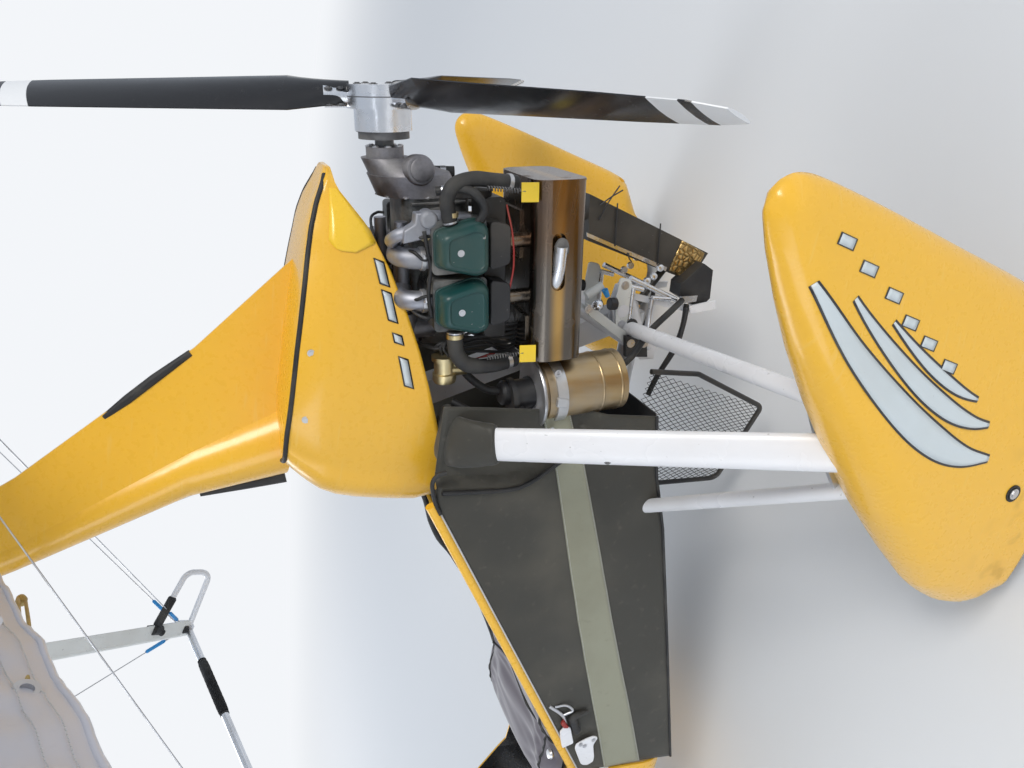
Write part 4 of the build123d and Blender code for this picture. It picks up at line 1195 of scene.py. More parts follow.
@dataclass
class Wing(Assembly):
    """Sail, keel, kingpost, cover flap and their rigging."""

    sections: tuple = (
        (0, -1130, 1900, 34, 0), (1300, -460, 1560, 44, 3), (3950, 930, 850, 24, 9), (4210, 1160, 470, 12, 9),
    )
    bays: tuple = (16, 30, 5)
    thick: float = 0.105
    lower_marks: tuple = (
        0.012, 0.06, 0.13, 0.2, 0.27, 0.34, 0.41, 0.48, 0.52, 0.562, 0.6, 0.6275, 0.67, 0.73, 0.8, 0.87, 0.94, 1.0,
    )
    battens: tuple = (260, 620, 1000, 1400, 1820, 2260, 2720, 3200, 3700)
    notch: tuple = (70, 62)
    flap_ends: tuple = ((320, 450, -430), (1220, 830, -350))
    flap_top: float = 90.0
    bungees: tuple = (
        ((733, -317, 1768), (30, -676, 1897)),
        ((738, -315, 1752), (56, -670, 1878)),
        ((56, -670, 1878), (90, -668, 1960)),
    )

    def outline(self, section: Point, upper: bool) -> list[Vector]:
        """Line of one wing section, from nose to tail.

        Args:
            section: Its station, leading edge, chord, rise and washout.
            upper: Whether it is the upper line.

        Returns:
            The points of the line.
        """
        x, lead, chord, rise, washout = section
        if upper:
            pairs = arc((0.012 * chord, 0), (0, 0.022 * chord), (0.03 * chord, 0.05 * chord), 5)
            pairs += arc((0.03 * chord, 0.05 * chord), (0.36 * chord, self.thick * chord), (chord, 5), 24)[1:]
        else:
            pairs = [(share * chord, 0.0) for share in self.lower_marks]
        s, c = sin(radians(washout)), cos(radians(washout))
        return [Vector((x, lead + u * c - v * s, rise + u * s + v * c)) for u, v in pairs]

    def rows(self, side: Side, upper: bool) -> list[list[Vector]]:
        """Rows of sail points along the span, billowed between the battens.

        Args:
            side: The side of the wing.
            upper: Whether it is the upper surface.

        Returns:
            The rows, from the middle to the tip.
        """
        lines = [self.outline(section, upper) for section in self.sections]
        rows = []
        for bay, (one, two) in enumerate(zip(lines, lines[1:])):
            steps = self.bays[bay]
            stops = range(steps + (bay == len(self.bays) - 1))
            rows += [[a.lerp(b, i / steps) for a, b in zip(one, two)] for i in stops]
        if not upper:
            share = self.notch[0] / self.sections[1][0]
            rows.insert(1, [a.lerp(b, share) for a, b in zip(lines[0], lines[1])])
        count = len(rows[0]) - 1
        for row in rows:
            station = row[0].x
            swell = min(1.0, min(abs(station - b) for b in self.battens) / 120.0)
            for j, point in enumerate(row):
                share = j / count
                if upper:
                    point.z += 7.0 * swell * sin(pi * share) - 3.0 * (1 - swell) * (share > 0.3)
                elif 0 < j < count and abs(station) > 1:
                    point.z += 2.5 * noise.noise((station / 240, point.y / 160, 3.0))
                point.x *= side
        return rows

    def surface(self, side: Side, upper: bool) -> list[list[Vector]]:
        """One cloth surface of a half sail with its seams, open where the mast passes.

        Args:
            side: The side of the wing.
            upper: Whether it is the upper surface.

        Returns:
            Its rows of points.
        """
        node, label = f"sail_{side.word}", "upper" if upper else "lower"
        rows = self.rows(side, upper)
        form = Form(self.wing).skin(rows)
        if not upper:
            middles = [(face, face.calc_center_median()) for face in form.mesh.faces]
            gone = [f for f, m in middles if abs(m.x) < self.notch[0] and abs(m.y) < self.notch[1] + 3]
            bmesh.ops.delete(form.mesh, geom=gone, context="FACES")
        piece = form.make(f"{node}_{label}", SAIL_CLOTH, "sail_cloth", node if upper else "", sharp=60)
        lift = Vector((0, 0, 1.2 if upper else -1.2))
        for share, tag in ((0.26, "fore"), (0.97, "aft")):
            column = int(share * (len(rows[0]) - 1))
            line = [row[column] + lift for row in rows[1:]]
            self.stitches.sew(f"{node}_{label}_{tag}_seam", line, self.wing, 9.0, 0.6)
        return rows

    def sail(self, side: Side) -> None:
        """One half of the sail: both surfaces, the tip rib, batten tapes and leading edge.

        Args:
            side: The side of the wing.
        """
        node = f"sail_{side.word}"
        upper, lower = self.surface(side, True), self.surface(side, False)
        rib = Form(self.wing).slab([*upper[-1], *reversed(lower[-1][1:-1])], (-side * 2, 0, 0))
        rib.make(f"{node}_tip", SAIL_CLOTH, "sail_cloth")
        tapes, wide, lift = Form(self.wing), Vector((11, 0, 0)), Vector((0, 0, 2.0))
        for station in self.battens:
            row = min(upper, key=lambda r: abs(abs(r[0].x) - station))
            line = [p + lift for p in row[6:]]
            tapes.skin([[p - wide for p in line], [p + wide for p in line]])
        bmesh.ops.recalc_face_normals(tapes.mesh, faces=tapes.mesh.faces)
        tapes.make(f"{node}_batten_tapes", SILVER_CLOTH, "sail_cloth", sharp=60, thick=0.8)
        edge = Form(self.wing).tube([row[0] + Vector((0, 14, 12)) for row in upper], 24, 18)
        edge.make(f"{node}_leading_edge", SILVER_CLOTH, "sail_cloth")

    def flap_rows(self) -> list[list[Vector]]:
        """Rows of the hanging cloth from its top edge to its gathered hem.

        Returns:
            The rows, from the inner to the outer edge.
        """
        inner, outer = (Vector(p) for p in self.flap_ends)
        top = self.flap_top
        across, down = 44, 30
        rows = []
        for i in range(across + 1):
            share = i / across
            foot = inner.lerp(outer, share)
            row = []
            for j in range(down + 1):
                drop = j / down
                point = Vector((foot.x, foot.y, top + (foot.z - top) * drop))
                fold = noise.noise((share * 7 + drop * 3.2, drop * 2.0 - share * 2.4, 1.7)) * (26 - 15 * drop)
                fold += noise.noise((share * 16 - drop * 5, drop * 6, 4.1)) * (9 - 5 * drop)
                gather = exp(-((drop - 0.96) / 0.05) ** 2) * 1.2 * sin(share * 150)
                point.y += (fold + gather) * min(1.0, drop * 3)
                point.x += noise.noise((share * 6, drop * 6, 9.3)) * 3 * drop
                row.append(point)
            rows.append(row)
        return rows

    def flap(self) -> None:
        """Wrinkled edge of the cloth cover with its hem, eyelets and elastic cords."""
        rows = self.flap_rows()
        cloth = Form(self.wing).skin(rows)
        piece = cloth.make("cover_cloth", SILVER_CLOTH, "silver_cloth", "cover_flap", thick=1.0, smooth=1)
        hem = Form(self.wing).tube([row[-1] + Vector((0, 0, 3)) for row in rows], 5.5, 10)
        hem.make("cover_hem", SILVER_CLOTH, "silver_cloth")
        for n, column in enumerate((-3, -5)):
            line = [row[column] + Vector((0, 4.0, 0)) for row in rows]
            self.stitches.sew(f"cover_stitch_{n}", line, self.wing, 8.0, 0.9)
        eyelets = Form(self.wing)
        for i in (2, 15, 29, 42):
            profile = [(0, 9), (0, 17), (3, 18), (6, 17), (8, 17), (8, 9), (0, 9)]
            eyelets.turned(rows[i][-4] + Vector((0, -4, 0)), (0, 1, 0), profile)
        eyelets.make("cover_eyelets", STEEL, "steel_wire")
        bridge = self.wing.matrix.inverted() @ self.body.matrix
        cords = Form(self.wing)
        for start, end in self.bungees:
            first, last = bridge @ Vector(start), bridge @ Vector(end)
            cords.hose([first, first.lerp(last, 0.5) + Vector((0, 0, -5)), last], 3.6, 10)
        cords.turned(bridge @ Vector((44, -674, 1888)), (1, 0, 0), [(-14, 0), (-10, 9), (0, 12), (10, 9), (14, 0)], 16)
        cords.make("cover_bungees", BUNGEE, "black_plastic")

    def build(self) -> None:
        """Build and dress the wing."""
        self.dress(ALLOY, "keel", "kingpost", "hang_block")
        self.dress(STEEL, "wing_wires")
        for side in Side:
            self.sail(side)
        self.flap()


@dataclass
class ControlFrame(Assembly):
    """Uprights, base bar, grips and the second pilot's bars."""

    corner: Point = (720, -540, -1510)
    grips: tuple = (250, 520)
    grip_radius: float = 19.0
    bar_radius: float = 14.2

    def grip(self, side: Side) -> None:
        """Foam sleeve with a crowned middle and pinched ends, and its two bands.

        Args:
            side: The side of the frame.
        """
        low, high = self.grips
        profile = []
        for i in range(25):
            share = i / 24
            swell = self.grip_radius - 2.6 * exp(-min(share, 1 - share) * 30) + 0.35 * sin(share * 60)
            profile.append((share * (high - low), swell))
        profile += [(high - low, self.bar_radius), (0, self.bar_radius), profile[0]]
        sleeve = Form(self.wing).turned((side * low, *self.corner[1:]), (side, 0, 0), profile, 32)
        replaces = "bar_grips" if side is Side.PORT else ""
        sleeve.make(f"foam_grip_{side.word}", FOAM, "black_foam", replaces)
        for n, x in enumerate((low - 8, high + 4)):
            band = Form(self.wing).band((side * x, *self.corner[1:]), (side, 0, 0), self.bar_radius, 16.5, 5)
            band.make(f"grip_band_{side.word}_{n}", RUBBER, "black_plastic")

    def fittings(self, side: Side) -> None:
        """Corner fitting, wire ends in blue sleeve and the black clamp of the bent bar.

        Args:
            side: The side of the frame.
        """
        corner = Vector((side * self.corner[0], *self.corner[1:]))
        sleeves, ferrules = Form(self.wing), Form(self.wing)
        for start, end in (
            ((side * 10, 0, 28), (side * 2350, 200, 110)), ((0, -14, 28), (side * 55, -1095, -30)),
            ((0, 14, 28), (0, 925, 0)),
        ):
            ahead, root = (Vector(end) - corner).normalized(), corner + Vector(start)
            sleeves.tube([root + ahead * t for t in (70, 76, 150, 156)], [4.2, 7.4, 7.0, 3.6], 12)
            ferrules.tube([root + ahead * t for t in (34, 70)], 4.4, 12)
        sleeves.make(f"wire_sleeves_{side.word}", BLUE, "steel_wire")
        ferrules.make(f"wire_ferrules_{side.word}", STEEL, "steel_wire")
        meet, bend = Vector((side * 636, -470, -1330)), corner + Vector((side * 4, 270, 110))
        clamp, way = Form(self.wing), (Vector((0, 0, -30)) - corner).normalized()
        tape = corner + way * 205
        ends = [meet - Vector((side * 4, 20, 34)), meet, meet + Vector((side * 4, -6, 30))]
        clamp.tube(ends, [13.5, 14.5, 13], 16)
        clamp.tube([tape + way * t for t in (-24, -22, 22, 24)], [17, 19.5, 19.5, 17], 24)
        clamp.tube([corner + way * t for t in (16, 20, 42, 46)], [15, 19, 19, 17], 24)
        clamp.tube([meet.lerp(bend, t) for t in (0.03, 0.06, 0.3, 0.52, 0.55)], [13, 16.5, 16, 16.5, 13], 18)
        clamp.make(f"bar_clamp_{side.word}", RUBBER, "black_plastic", bevel=1.5)

    def build(self) -> None:
        """Build and dress the control frame."""
        self.dress(PALE, "uprights")
        self.dress(POLISHED, "base_bar")
        self.dress(WHITE, "training_bars")
        for side in Side:
            self.grip(side)
            self.fittings(side)


@dataclass
class PowerUnit(Assembly):
    """Engine, exhaust, oil tank, radiator and their pipes."""

    cylinders: tuple = ((Side.PORT, -58), (Side.PORT, 62), (Side.STARBOARD, -86), (Side.STARBOARD, 34))
    cover: tuple = ((-35, 53), (35, 53), (57, -26), (47, -51), (-47, -51), (-57, -26))
    cover_steps: tuple = (
        (245, 0.99), (272, 0.96), (283, 0.88), (288, 0.79), (289, 0.7), (287, 0.67), (286.4, 0.62),
    )
    coolant: tuple = (
        (17, ((236, -112, 14), (236, -132, 14), (236, -167, 9), (238, -192, -15), (236, -199, -64), (220, -198, -125))),
        (15, (
            (238, 108, 18), (238, 130, 22), (240, 158, 24), (240, 184, 8), (238, 193, -30), (232, 188, -70),
            (222, 180, -125),
        )),
        (9, ((252, 96, -24), (258, 134, -46), (256, 164, -31), (244, 176, -6), (220, 170, 40))),
        (15, ((-213, -150, 20), (-216, -180, 10), (-214, -206, -40), (-200, -204, -120))),
        (15, ((-213, 80, 20), (-220, 120, 20), (-216, 150, -30), (-200, 150, -120))),
    )
    oil_runs: tuple = (
        (9, ((206, -86, 926), (196, -84, 960), (176, -60, 1000), (150, -20, 1030))),
        (8, ((236, -96, 880), (250, -120, 900), (226, -140, 960), (190, -120, 1030))),
        (8, ((196, -40, 652), (190, 6, 600), (150, 60, 540), (120, 112, 470), (80, 130, 420))),
        (7, ((80, -130, 452), (80, -78, 438), (80, 2, 407), (80, 62, 398), (70, 120, 396))),
    )
    coil_turns: int = 12
    coil_radius: float = 4.6

    def ring(self, side: Side, y: float, out: float, scale: float) -> list[Vector]:
        """Outline of a rocker cover at one distance out."""
        return closed([(side * out, y + a * scale, b * scale) for a, b in self.cover], 13)

    def covers(self) -> None:
        """Tapered rocker covers with a flange, a sunken face and their screws."""
        shells, flanges, screws, studs = Form(self.engine), Form(self.engine), [], []
        for side, y in self.cylinders:
            flanges.stacked([self.ring(side, y, x, 1.04) for x in (238, 245)])
            shells.stacked([self.ring(side, y, x, scale) for x, scale in self.cover_steps])
            screws.append(((side * 286.4, y - 2, 12), (side, 0, 0)))
            studs += [((side * 240, y + a, -66), (0, 0, -1)) for a in (-30, 30)]
        shells.make("rocker_cover_shells", TEAL, "teal_paint", "rocker_covers", sharp=50)
        flanges.make("cover_flanges", TEAL, "cast_aluminium", bevel=1)
        self.bolts.place("cover_screws", screws, self.engine, (4.5, 4))
        self.bolts.place("head_studs", studs, self.engine, (5, 12), BRASS)

    def intakes(self) -> None:
        """Wide intake elbows down to the heads, with their clamps and the balance pipes."""
        pipes, clamps, screws = Form(self.engine), Form(self.engine), []
        for side, shift in ((Side.PORT, 0), (Side.STARBOARD, -28)):
            pipes.tube([(side * 112, -100 + shift, 90), (side * 112, 95 + shift, 90)], 14)
            for y in (-52 + shift, 36 + shift):
                route = [(112, 92), (150, 110), (186, 101), (203, 78), (205, 52)]
                pipes.hose([(side * x, y, z) for x, z in route], 21, 24)
                clamps.band((side * 204, y, 66), (0, 0, 1), 21, 24.5, 9, 30)
                clamps.band((side * 205, y, 50), (0, 0, 1), 21, 26, 4, 30)
                screws.append(((side * 229, y + 6, 70), (0, 1, 0)))
        pipes.make("intake_elbows", CAST_BRIGHT, "polished_aluminium", "intake_pipes")
        clamps.make("intake_clamps", STEEL, "steel_wire", bevel=0.5)
        self.bolts.place("clamp_screws", screws, self.engine, (3.5, 14))

    def housings(self) -> None:
        """Water housing, dark exhaust covers and hose collars."""
        outline = [(73, 112), (98, 109), (110, 87), (131, 84), (130, 29), (122, -29), (107, -30), (98, 39), (79, 74)]
        house = Form(self.engine).slab([(196, y, z) for y, z in outline], (34, 0, 0))
        house.hose([(150, 60, 112), (180, 72, 126), (205, 86, 116), (212, 92, 92)], 13, 16)
        house.turned((200, 118, 60), (1, 0, 0), [(0, 18), (36, 18), (40, 14), (40, 0)], 24)
        house.make("water_housing", CAST_BRIGHT, "cast_aluminium", bevel=3)
        dark = Form(self.engine)
        for side, y in self.cylinders:
            pairs = ((y - 50, -60), (y + 50, -60), (y + 40, -104), (y - 40, -104))
            dark.stacked([closed([(side * x, *pair) for pair in pairs], 12) for x in (176, 252)])
        pairs = ((-150, -62), (150, -62), (150, -112), (-150, -112))
        dark.stacked([closed([(x, *pair) for pair in pairs], 14) for x in (120, 200)])
        dark.turned((160, 150, -40), (0, 1, 0), [(0, 52), (14, 52), (22, 46), (22, 0)], 32)
        dark.make("exhaust_shrouds", BLACK, "black_paint", bevel=2)
        collars = Form(self.engine)
        for spot, way, radius in (
            ((218, 84, 66), (1, 0.3, 0.2), 11), ((236, -128, 14), (0, 1, 0), 18.5), ((236, 122, 18), (0, 1, 0), 16.5),
        ):
            collars.band(spot, way, radius - 2, radius, 9)
        collars.make("hose_collars", BRASS, "steel_wire")

    def carburettor(self) -> None:
        """Bodies of the port carburettor, with the wires and red leads beside them."""
        body = Form(self.engine)
        profile = [(0, 0), (0, 24), (6, 26), (20, 26), (22, 22), (48, 22), (50, 27), (60, 27), (60, 0)]
        body.turned((190, -242, 26), (0, 1, 0), profile, 32)
        body.turned((190, -214, 26), (0, 0, -1), [(0, 17), (48, 17), (54, 12), (54, 0)], 28)
        body.make("carburettor_body", BRASS, "cast_aluminium")
        wires = Form(self.engine)
        for n in range(7):
            stray = noise.noise_vector((n * 1.7, 0.3, 2.2)) * 16
            wires.hose([
                (120 + 14 * n, -150 - 6 * n, 100 - 14 * n), Vector((170 + 6 * n, -176 + 5 * n, 30)) + stray,
                Vector((190, -180 + 9 * n, -60)) - stray, (168 + 5 * n, -196 + 12 * n, -130), (150, -170 + 8 * n, -190),
            ], 3.4, 8)
        wires.make("wire_bundle", RUBBER, "black_plastic")
        red = Form(self.engine).hose([(246, -30, -104), (252, 20, -110), (250, 80, -108), (236, 140, -100)], 2, 8)
        red.hose([(170, -190, 40), (196, -200, -20), (190, -190, -90)], 3.4, 8)
        red.make("red_leads", RED, "black_plastic")

    def case(self) -> None:
        """Ribs and bolts of the crankcase and gearbox, and the round cover beside it."""
        ribs = Form(self.engine)
        for low in (-92, 84):
            for y in (-150, -128, 98, 122):
                ribs.block((low, y, -60), (low + 8, y + 6, 60))
        ribs.make("case_ribs", DARK_CAST, "cast_aluminium", bevel=1.5)
        spots = []
        for count, radius, y, z, way in ((12, 88, 137, 23, -1), (8, 34, 237, 92, 1)):
            for n in range(count):
                turn = FULL_TURN * n / count
                spots.append(((radius * cos(turn), y, z + radius * sin(turn)), (0, way, 0)))
        self.bolts.place("case_bolts", spots, self.engine, (5, 5))
        profile = [(0, 34), (28, 32), (32, 29), (33, 24), (37, 24), (39, 21), (39, 0)]
        cover = Form(self.engine).turned((60, 190, 40), (1, 0.15, -0.1), profile, 36)
        cover.make("gearbox_cover", CAST, "cast_aluminium")

    def hoses(self) -> None:
        """Coolant hoses, their clips and the ignition leads."""
        hoses, clips, leads = Form(self.engine), Form(self.engine), Form(self.engine)
        for radius, run in self.coolant:
            path = flowing(run)
            hoses.tube(path, radius, 20)
            for a, b in ((path[1], path[3]), (path[-4], path[-2])):
                clips.tube([a, a.lerp(b, 0.6)], radius + 1.4, 22)
        hoses.make("coolant_hoses", RUBBER, "black_plastic")
        clips.make("hose_clips", STEEL, "steel_wire")
        for n, (side, y) in enumerate(self.cylinders):
            for dy in (-22, 22):
                leads.hose([
                    (side * 226, y + dy, 56), (side * 230, y + dy, 74), (side * 196, y + dy * 0.5, 96),
                    (side * 30, -40 + 18 * n, 118),
                ], 3.6, 8)
        leads.hose([(228, -80, 60), (234, -30, 66), (226, 20, 58), (236, 60, 66), (232, 96, 70)], 4.2, 10)
        leads.make("ignition_leads", RUBBER, "black_plastic")

    def exhaust(self) -> None:
        """Silencer seams, tail pipe, hanger tabs and springs."""
        seams = Form(self.engine).block((70, -150, -148), (240, -96, -142)).block((90, 20, -148), (200, 120, -142))
        for y in (-190, 187):
            corners = [(60, y, -264), (277, y, -264), (277, y, -150), (60, y, -150), (60, y, -264)]
            seams.tube(rounded(corners, 34)[3:], 2.2, 8)
        seams.make("silencer_seams", HEATED, "heat_steel")
        pipe = Form(self.engine).hose([(252, -40, -196), (268, -20, -197), (277, 10, -199), (281, 58, -202)], 14, 24)
        pipe.make("tail_pipe", POLISHED, "heat_steel")
        rim = [
            (285, 38, -202), (281, 44, -188), (280, 62, -187), (283, 76, -196), (284, 76, -208), (281, 62, -217),
            (281, 44, -216),
        ]
        # Near-black plate over the pipe's closed end: painted shade of the open pipe's inside, with its soot.
        Form(self.engine).slab(closed(rim, 10), (7, 0, 0)).make("tail_mouth", SOOT_AND_SHADE, "heat_steel")
        tabs, coils = Form(self.engine), Form(self.engine)
        for y in (-168, 168):
            tab = [(278, y - 19, -152), (278, y + 19, -152), (270, y + 19, -118), (270, y - 19, -118)]
            tabs.slab(tab, (1.8, 0, 0.6))
            start, end = Vector((273, y + 2, -126)), Vector((244, y * 1.06, -36))
            path, steps = [], self.coil_turns * 8
            for i in range(steps + 1):
                t = i / steps
                angle = FULL_TURN * self.coil_turns * t
                across = Vector((cos(angle), sin(angle), 0)) * self.coil_radius
                path.append(start.lerp(end, 0.12 + t * 0.7) + across)
            coils.tube(path, 1.2, 6)
            coils.tube([start, start.lerp(end, 0.13)], 1.5, 6).tube([start.lerp(end, 0.81), end], 1.5, 6)
        tabs.make("hanger_tabs", YELLOW_TAB, "heat_steel", bevel=0.4)
        coils.make("hanger_springs", DARK_STEEL, "steel_wire")

    def oil(self) -> None:
        """Clamp band, beads, lid, filter and hoses of the oil tank."""
        low, high = Vector((220, -37, 650)), Vector((220, -76, 838))
        axis = (high - low).normalized()
        band = Form(self.body).band(high - axis * 41, axis, 74, 76, 24, 48)
        band.make("tank_band", ALLOY, "polished_aluminium")
        lug = Form(self.body).block((286, -84, 800), (300, -64, 826))
        lug.make("band_lug", ALLOY, "polished_aluminium", bevel=2)
        beads = Form(self.body)
        for along in (14, 60, 150):
            beads.turned(low + axis * along, axis, [(-2, 70), (0, 71.6), (2, 71.6), (4, 70)], 48)
        beads.make("tank_beads", CAN, "heat_steel")
        profile = [(0, 64), (2, 78), (6, 80), (9, 78), (11, 40), (11, 0)]
        lid = Form(self.body).turned(high + axis * 8, axis, profile, 48)
        lid.make("tank_lid", STEEL, "polished_aluminium")
        lean, profile = (0, -0.06, 1), [(0, 0), (0, 24), (3, 27), (40, 27), (44, 24), (44, 0)]
        Form(self.body).turned((212, -84, 868), lean, profile, 36).make("oil_filter", BRASS, "heat_steel")
        cap = Form(self.body).turned((212, -86, 908), lean, [(0, 28), (16, 28), (22, 22), (22, 0)], 36)
        cap.turned((212, -84, 856), lean, [(0, 40), (12, 36), (14, 30), (14, 0)], 36)
        cap.make("oil_filter_cap", PLASTIC, "black_plastic", bevel=1)
        ears = Form(self.body)
        for y in (-146, -10):
            ears.turned((282, y, 834 + y * 0.1), (1, 0, 0), [(0, 8), (4, 8), (4, 4), (0, 4), (0, 8)], 24)
        ears.make("tank_ears", STEEL, "polished_aluminium")
        hoses = Form(self.body)
        for radius, run in self.oil_runs:
            hoses.hose(run, radius, 12)
        hoses.make("oil_hoses", RUBBER, "black_plastic")

    def radiator(self) -> None:
        """Foil wrap, silver edge strip, hose box and cable ties of the radiator."""
        strip = Form(self.body).slab([(21, 262, 696), (21, 252, 692), (21, 190, 450), (21, 200, 448)], (2.5, 0, 0))
        strip.make("radiator_strip", POLISHED, "polished_aluminium")
        ties = Form(self.body)
        for low, high in (((295, 671), (382, 635)), ((330, 676), (373, 624)), ((204, 556), (225, 571))):
            ties.hose([(24, *low), (30, (low[0] + high[0]) / 2, (low[1] + high[1]) / 2 + 6), (26, *high)], 1.8, 8)
        for along in (0.28, 0.72):
            y, z = 262 - 76 * along, 696 - 300 * along
            ties.tube([(24, y - 3, z), (24, y + 100, z + 18)], 2, 8)
        foot = [(60, 107, 346), (60, 138, 321), (60, 212, 334), (60, 226, 366), (60, 168, 420), (60, 136, 416)]
        ties.slab(foot, (-50, 0, 0)).make("radiator_ties", PLASTIC, "black_plastic", bevel=0.5)
        foil = Form(self.body).slab([(-60, 168, 362), (24, 168, 362), (24, 193, 440), (-60, 193, 440)], (0, 80, -18))
        foil.make("foil_wrap", FOIL, "heat_steel", bevel=3)

    def build(self) -> None:
        """Build and dress the power unit."""
        self.dress(HEAD_CAST, "crankcase", "cylinders", "cylinder_heads")
        self.dress(CAST, "gearbox", "carburettors")
        self.dress(HEATED, "silencer")
        self.dress(CAN, "oil_tank")
        self.dress(PLASTIC, "oil_tank_cap")
        self.dress(BLACK, "radiator", "engine_mount")
        self.covers()
        self.intakes()
        self.housings()
        self.carburettor()
        self.case()
        self.hoses()
        self.exhaust()
        self.oil()
        self.radiator()


@dataclass
class Propeller(Assembly):
    """Hub, drum and three blades."""

    angles: tuple = (69, -51, 189)
    hub_bolts: int = 6
    bolt_circle: float = 50.0

    def build(self) -> None:
        """Build and dress the propeller."""
        hub = tuple(self.hub.matrix.translation)
        self.dress(Blade("black_blade", (0.016, 0.016, 0.018), hub=hub), "prop_blades")
        self.dress(POLISHED, "prop_hub", "prop_spacer")
        self.dress(DARK_STEEL, "prop_shaft")
        spots = []
        for n in range(self.hub_bolts):
            turn = FULL_TURN * (n + 0.5) / self.hub_bolts
            x, y = self.bolt_circle * cos(turn), self.bolt_circle * sin(turn)
            spots += [((x, y, 24), (0, 0, 1)), ((x, y, -24 - 45), (0, 0, -1))]
        for angle in self.angles:
            turn = radians(angle)
            for along in (84, 108):
                for aside in (-1, 1):
                    x = sin(turn) * along + aside * cos(turn) * 19
                    y = cos(turn) * along - aside * sin(turn) * 19
                    spots += [((x, y, 16), (0, 0, 1)), ((x, y, -16), (0, 0, -1))]
        self.bolts.place("hub_bolts", spots, self.hub, (5.5, 6), DARK_STEEL, "black_paint")
        seam = Form(self.hub).band((0, 0, -1), (0, 0, 1), 73, 75.2, 2, 60)
        seam.make("hub_split", DARK_STEEL, "black_paint")


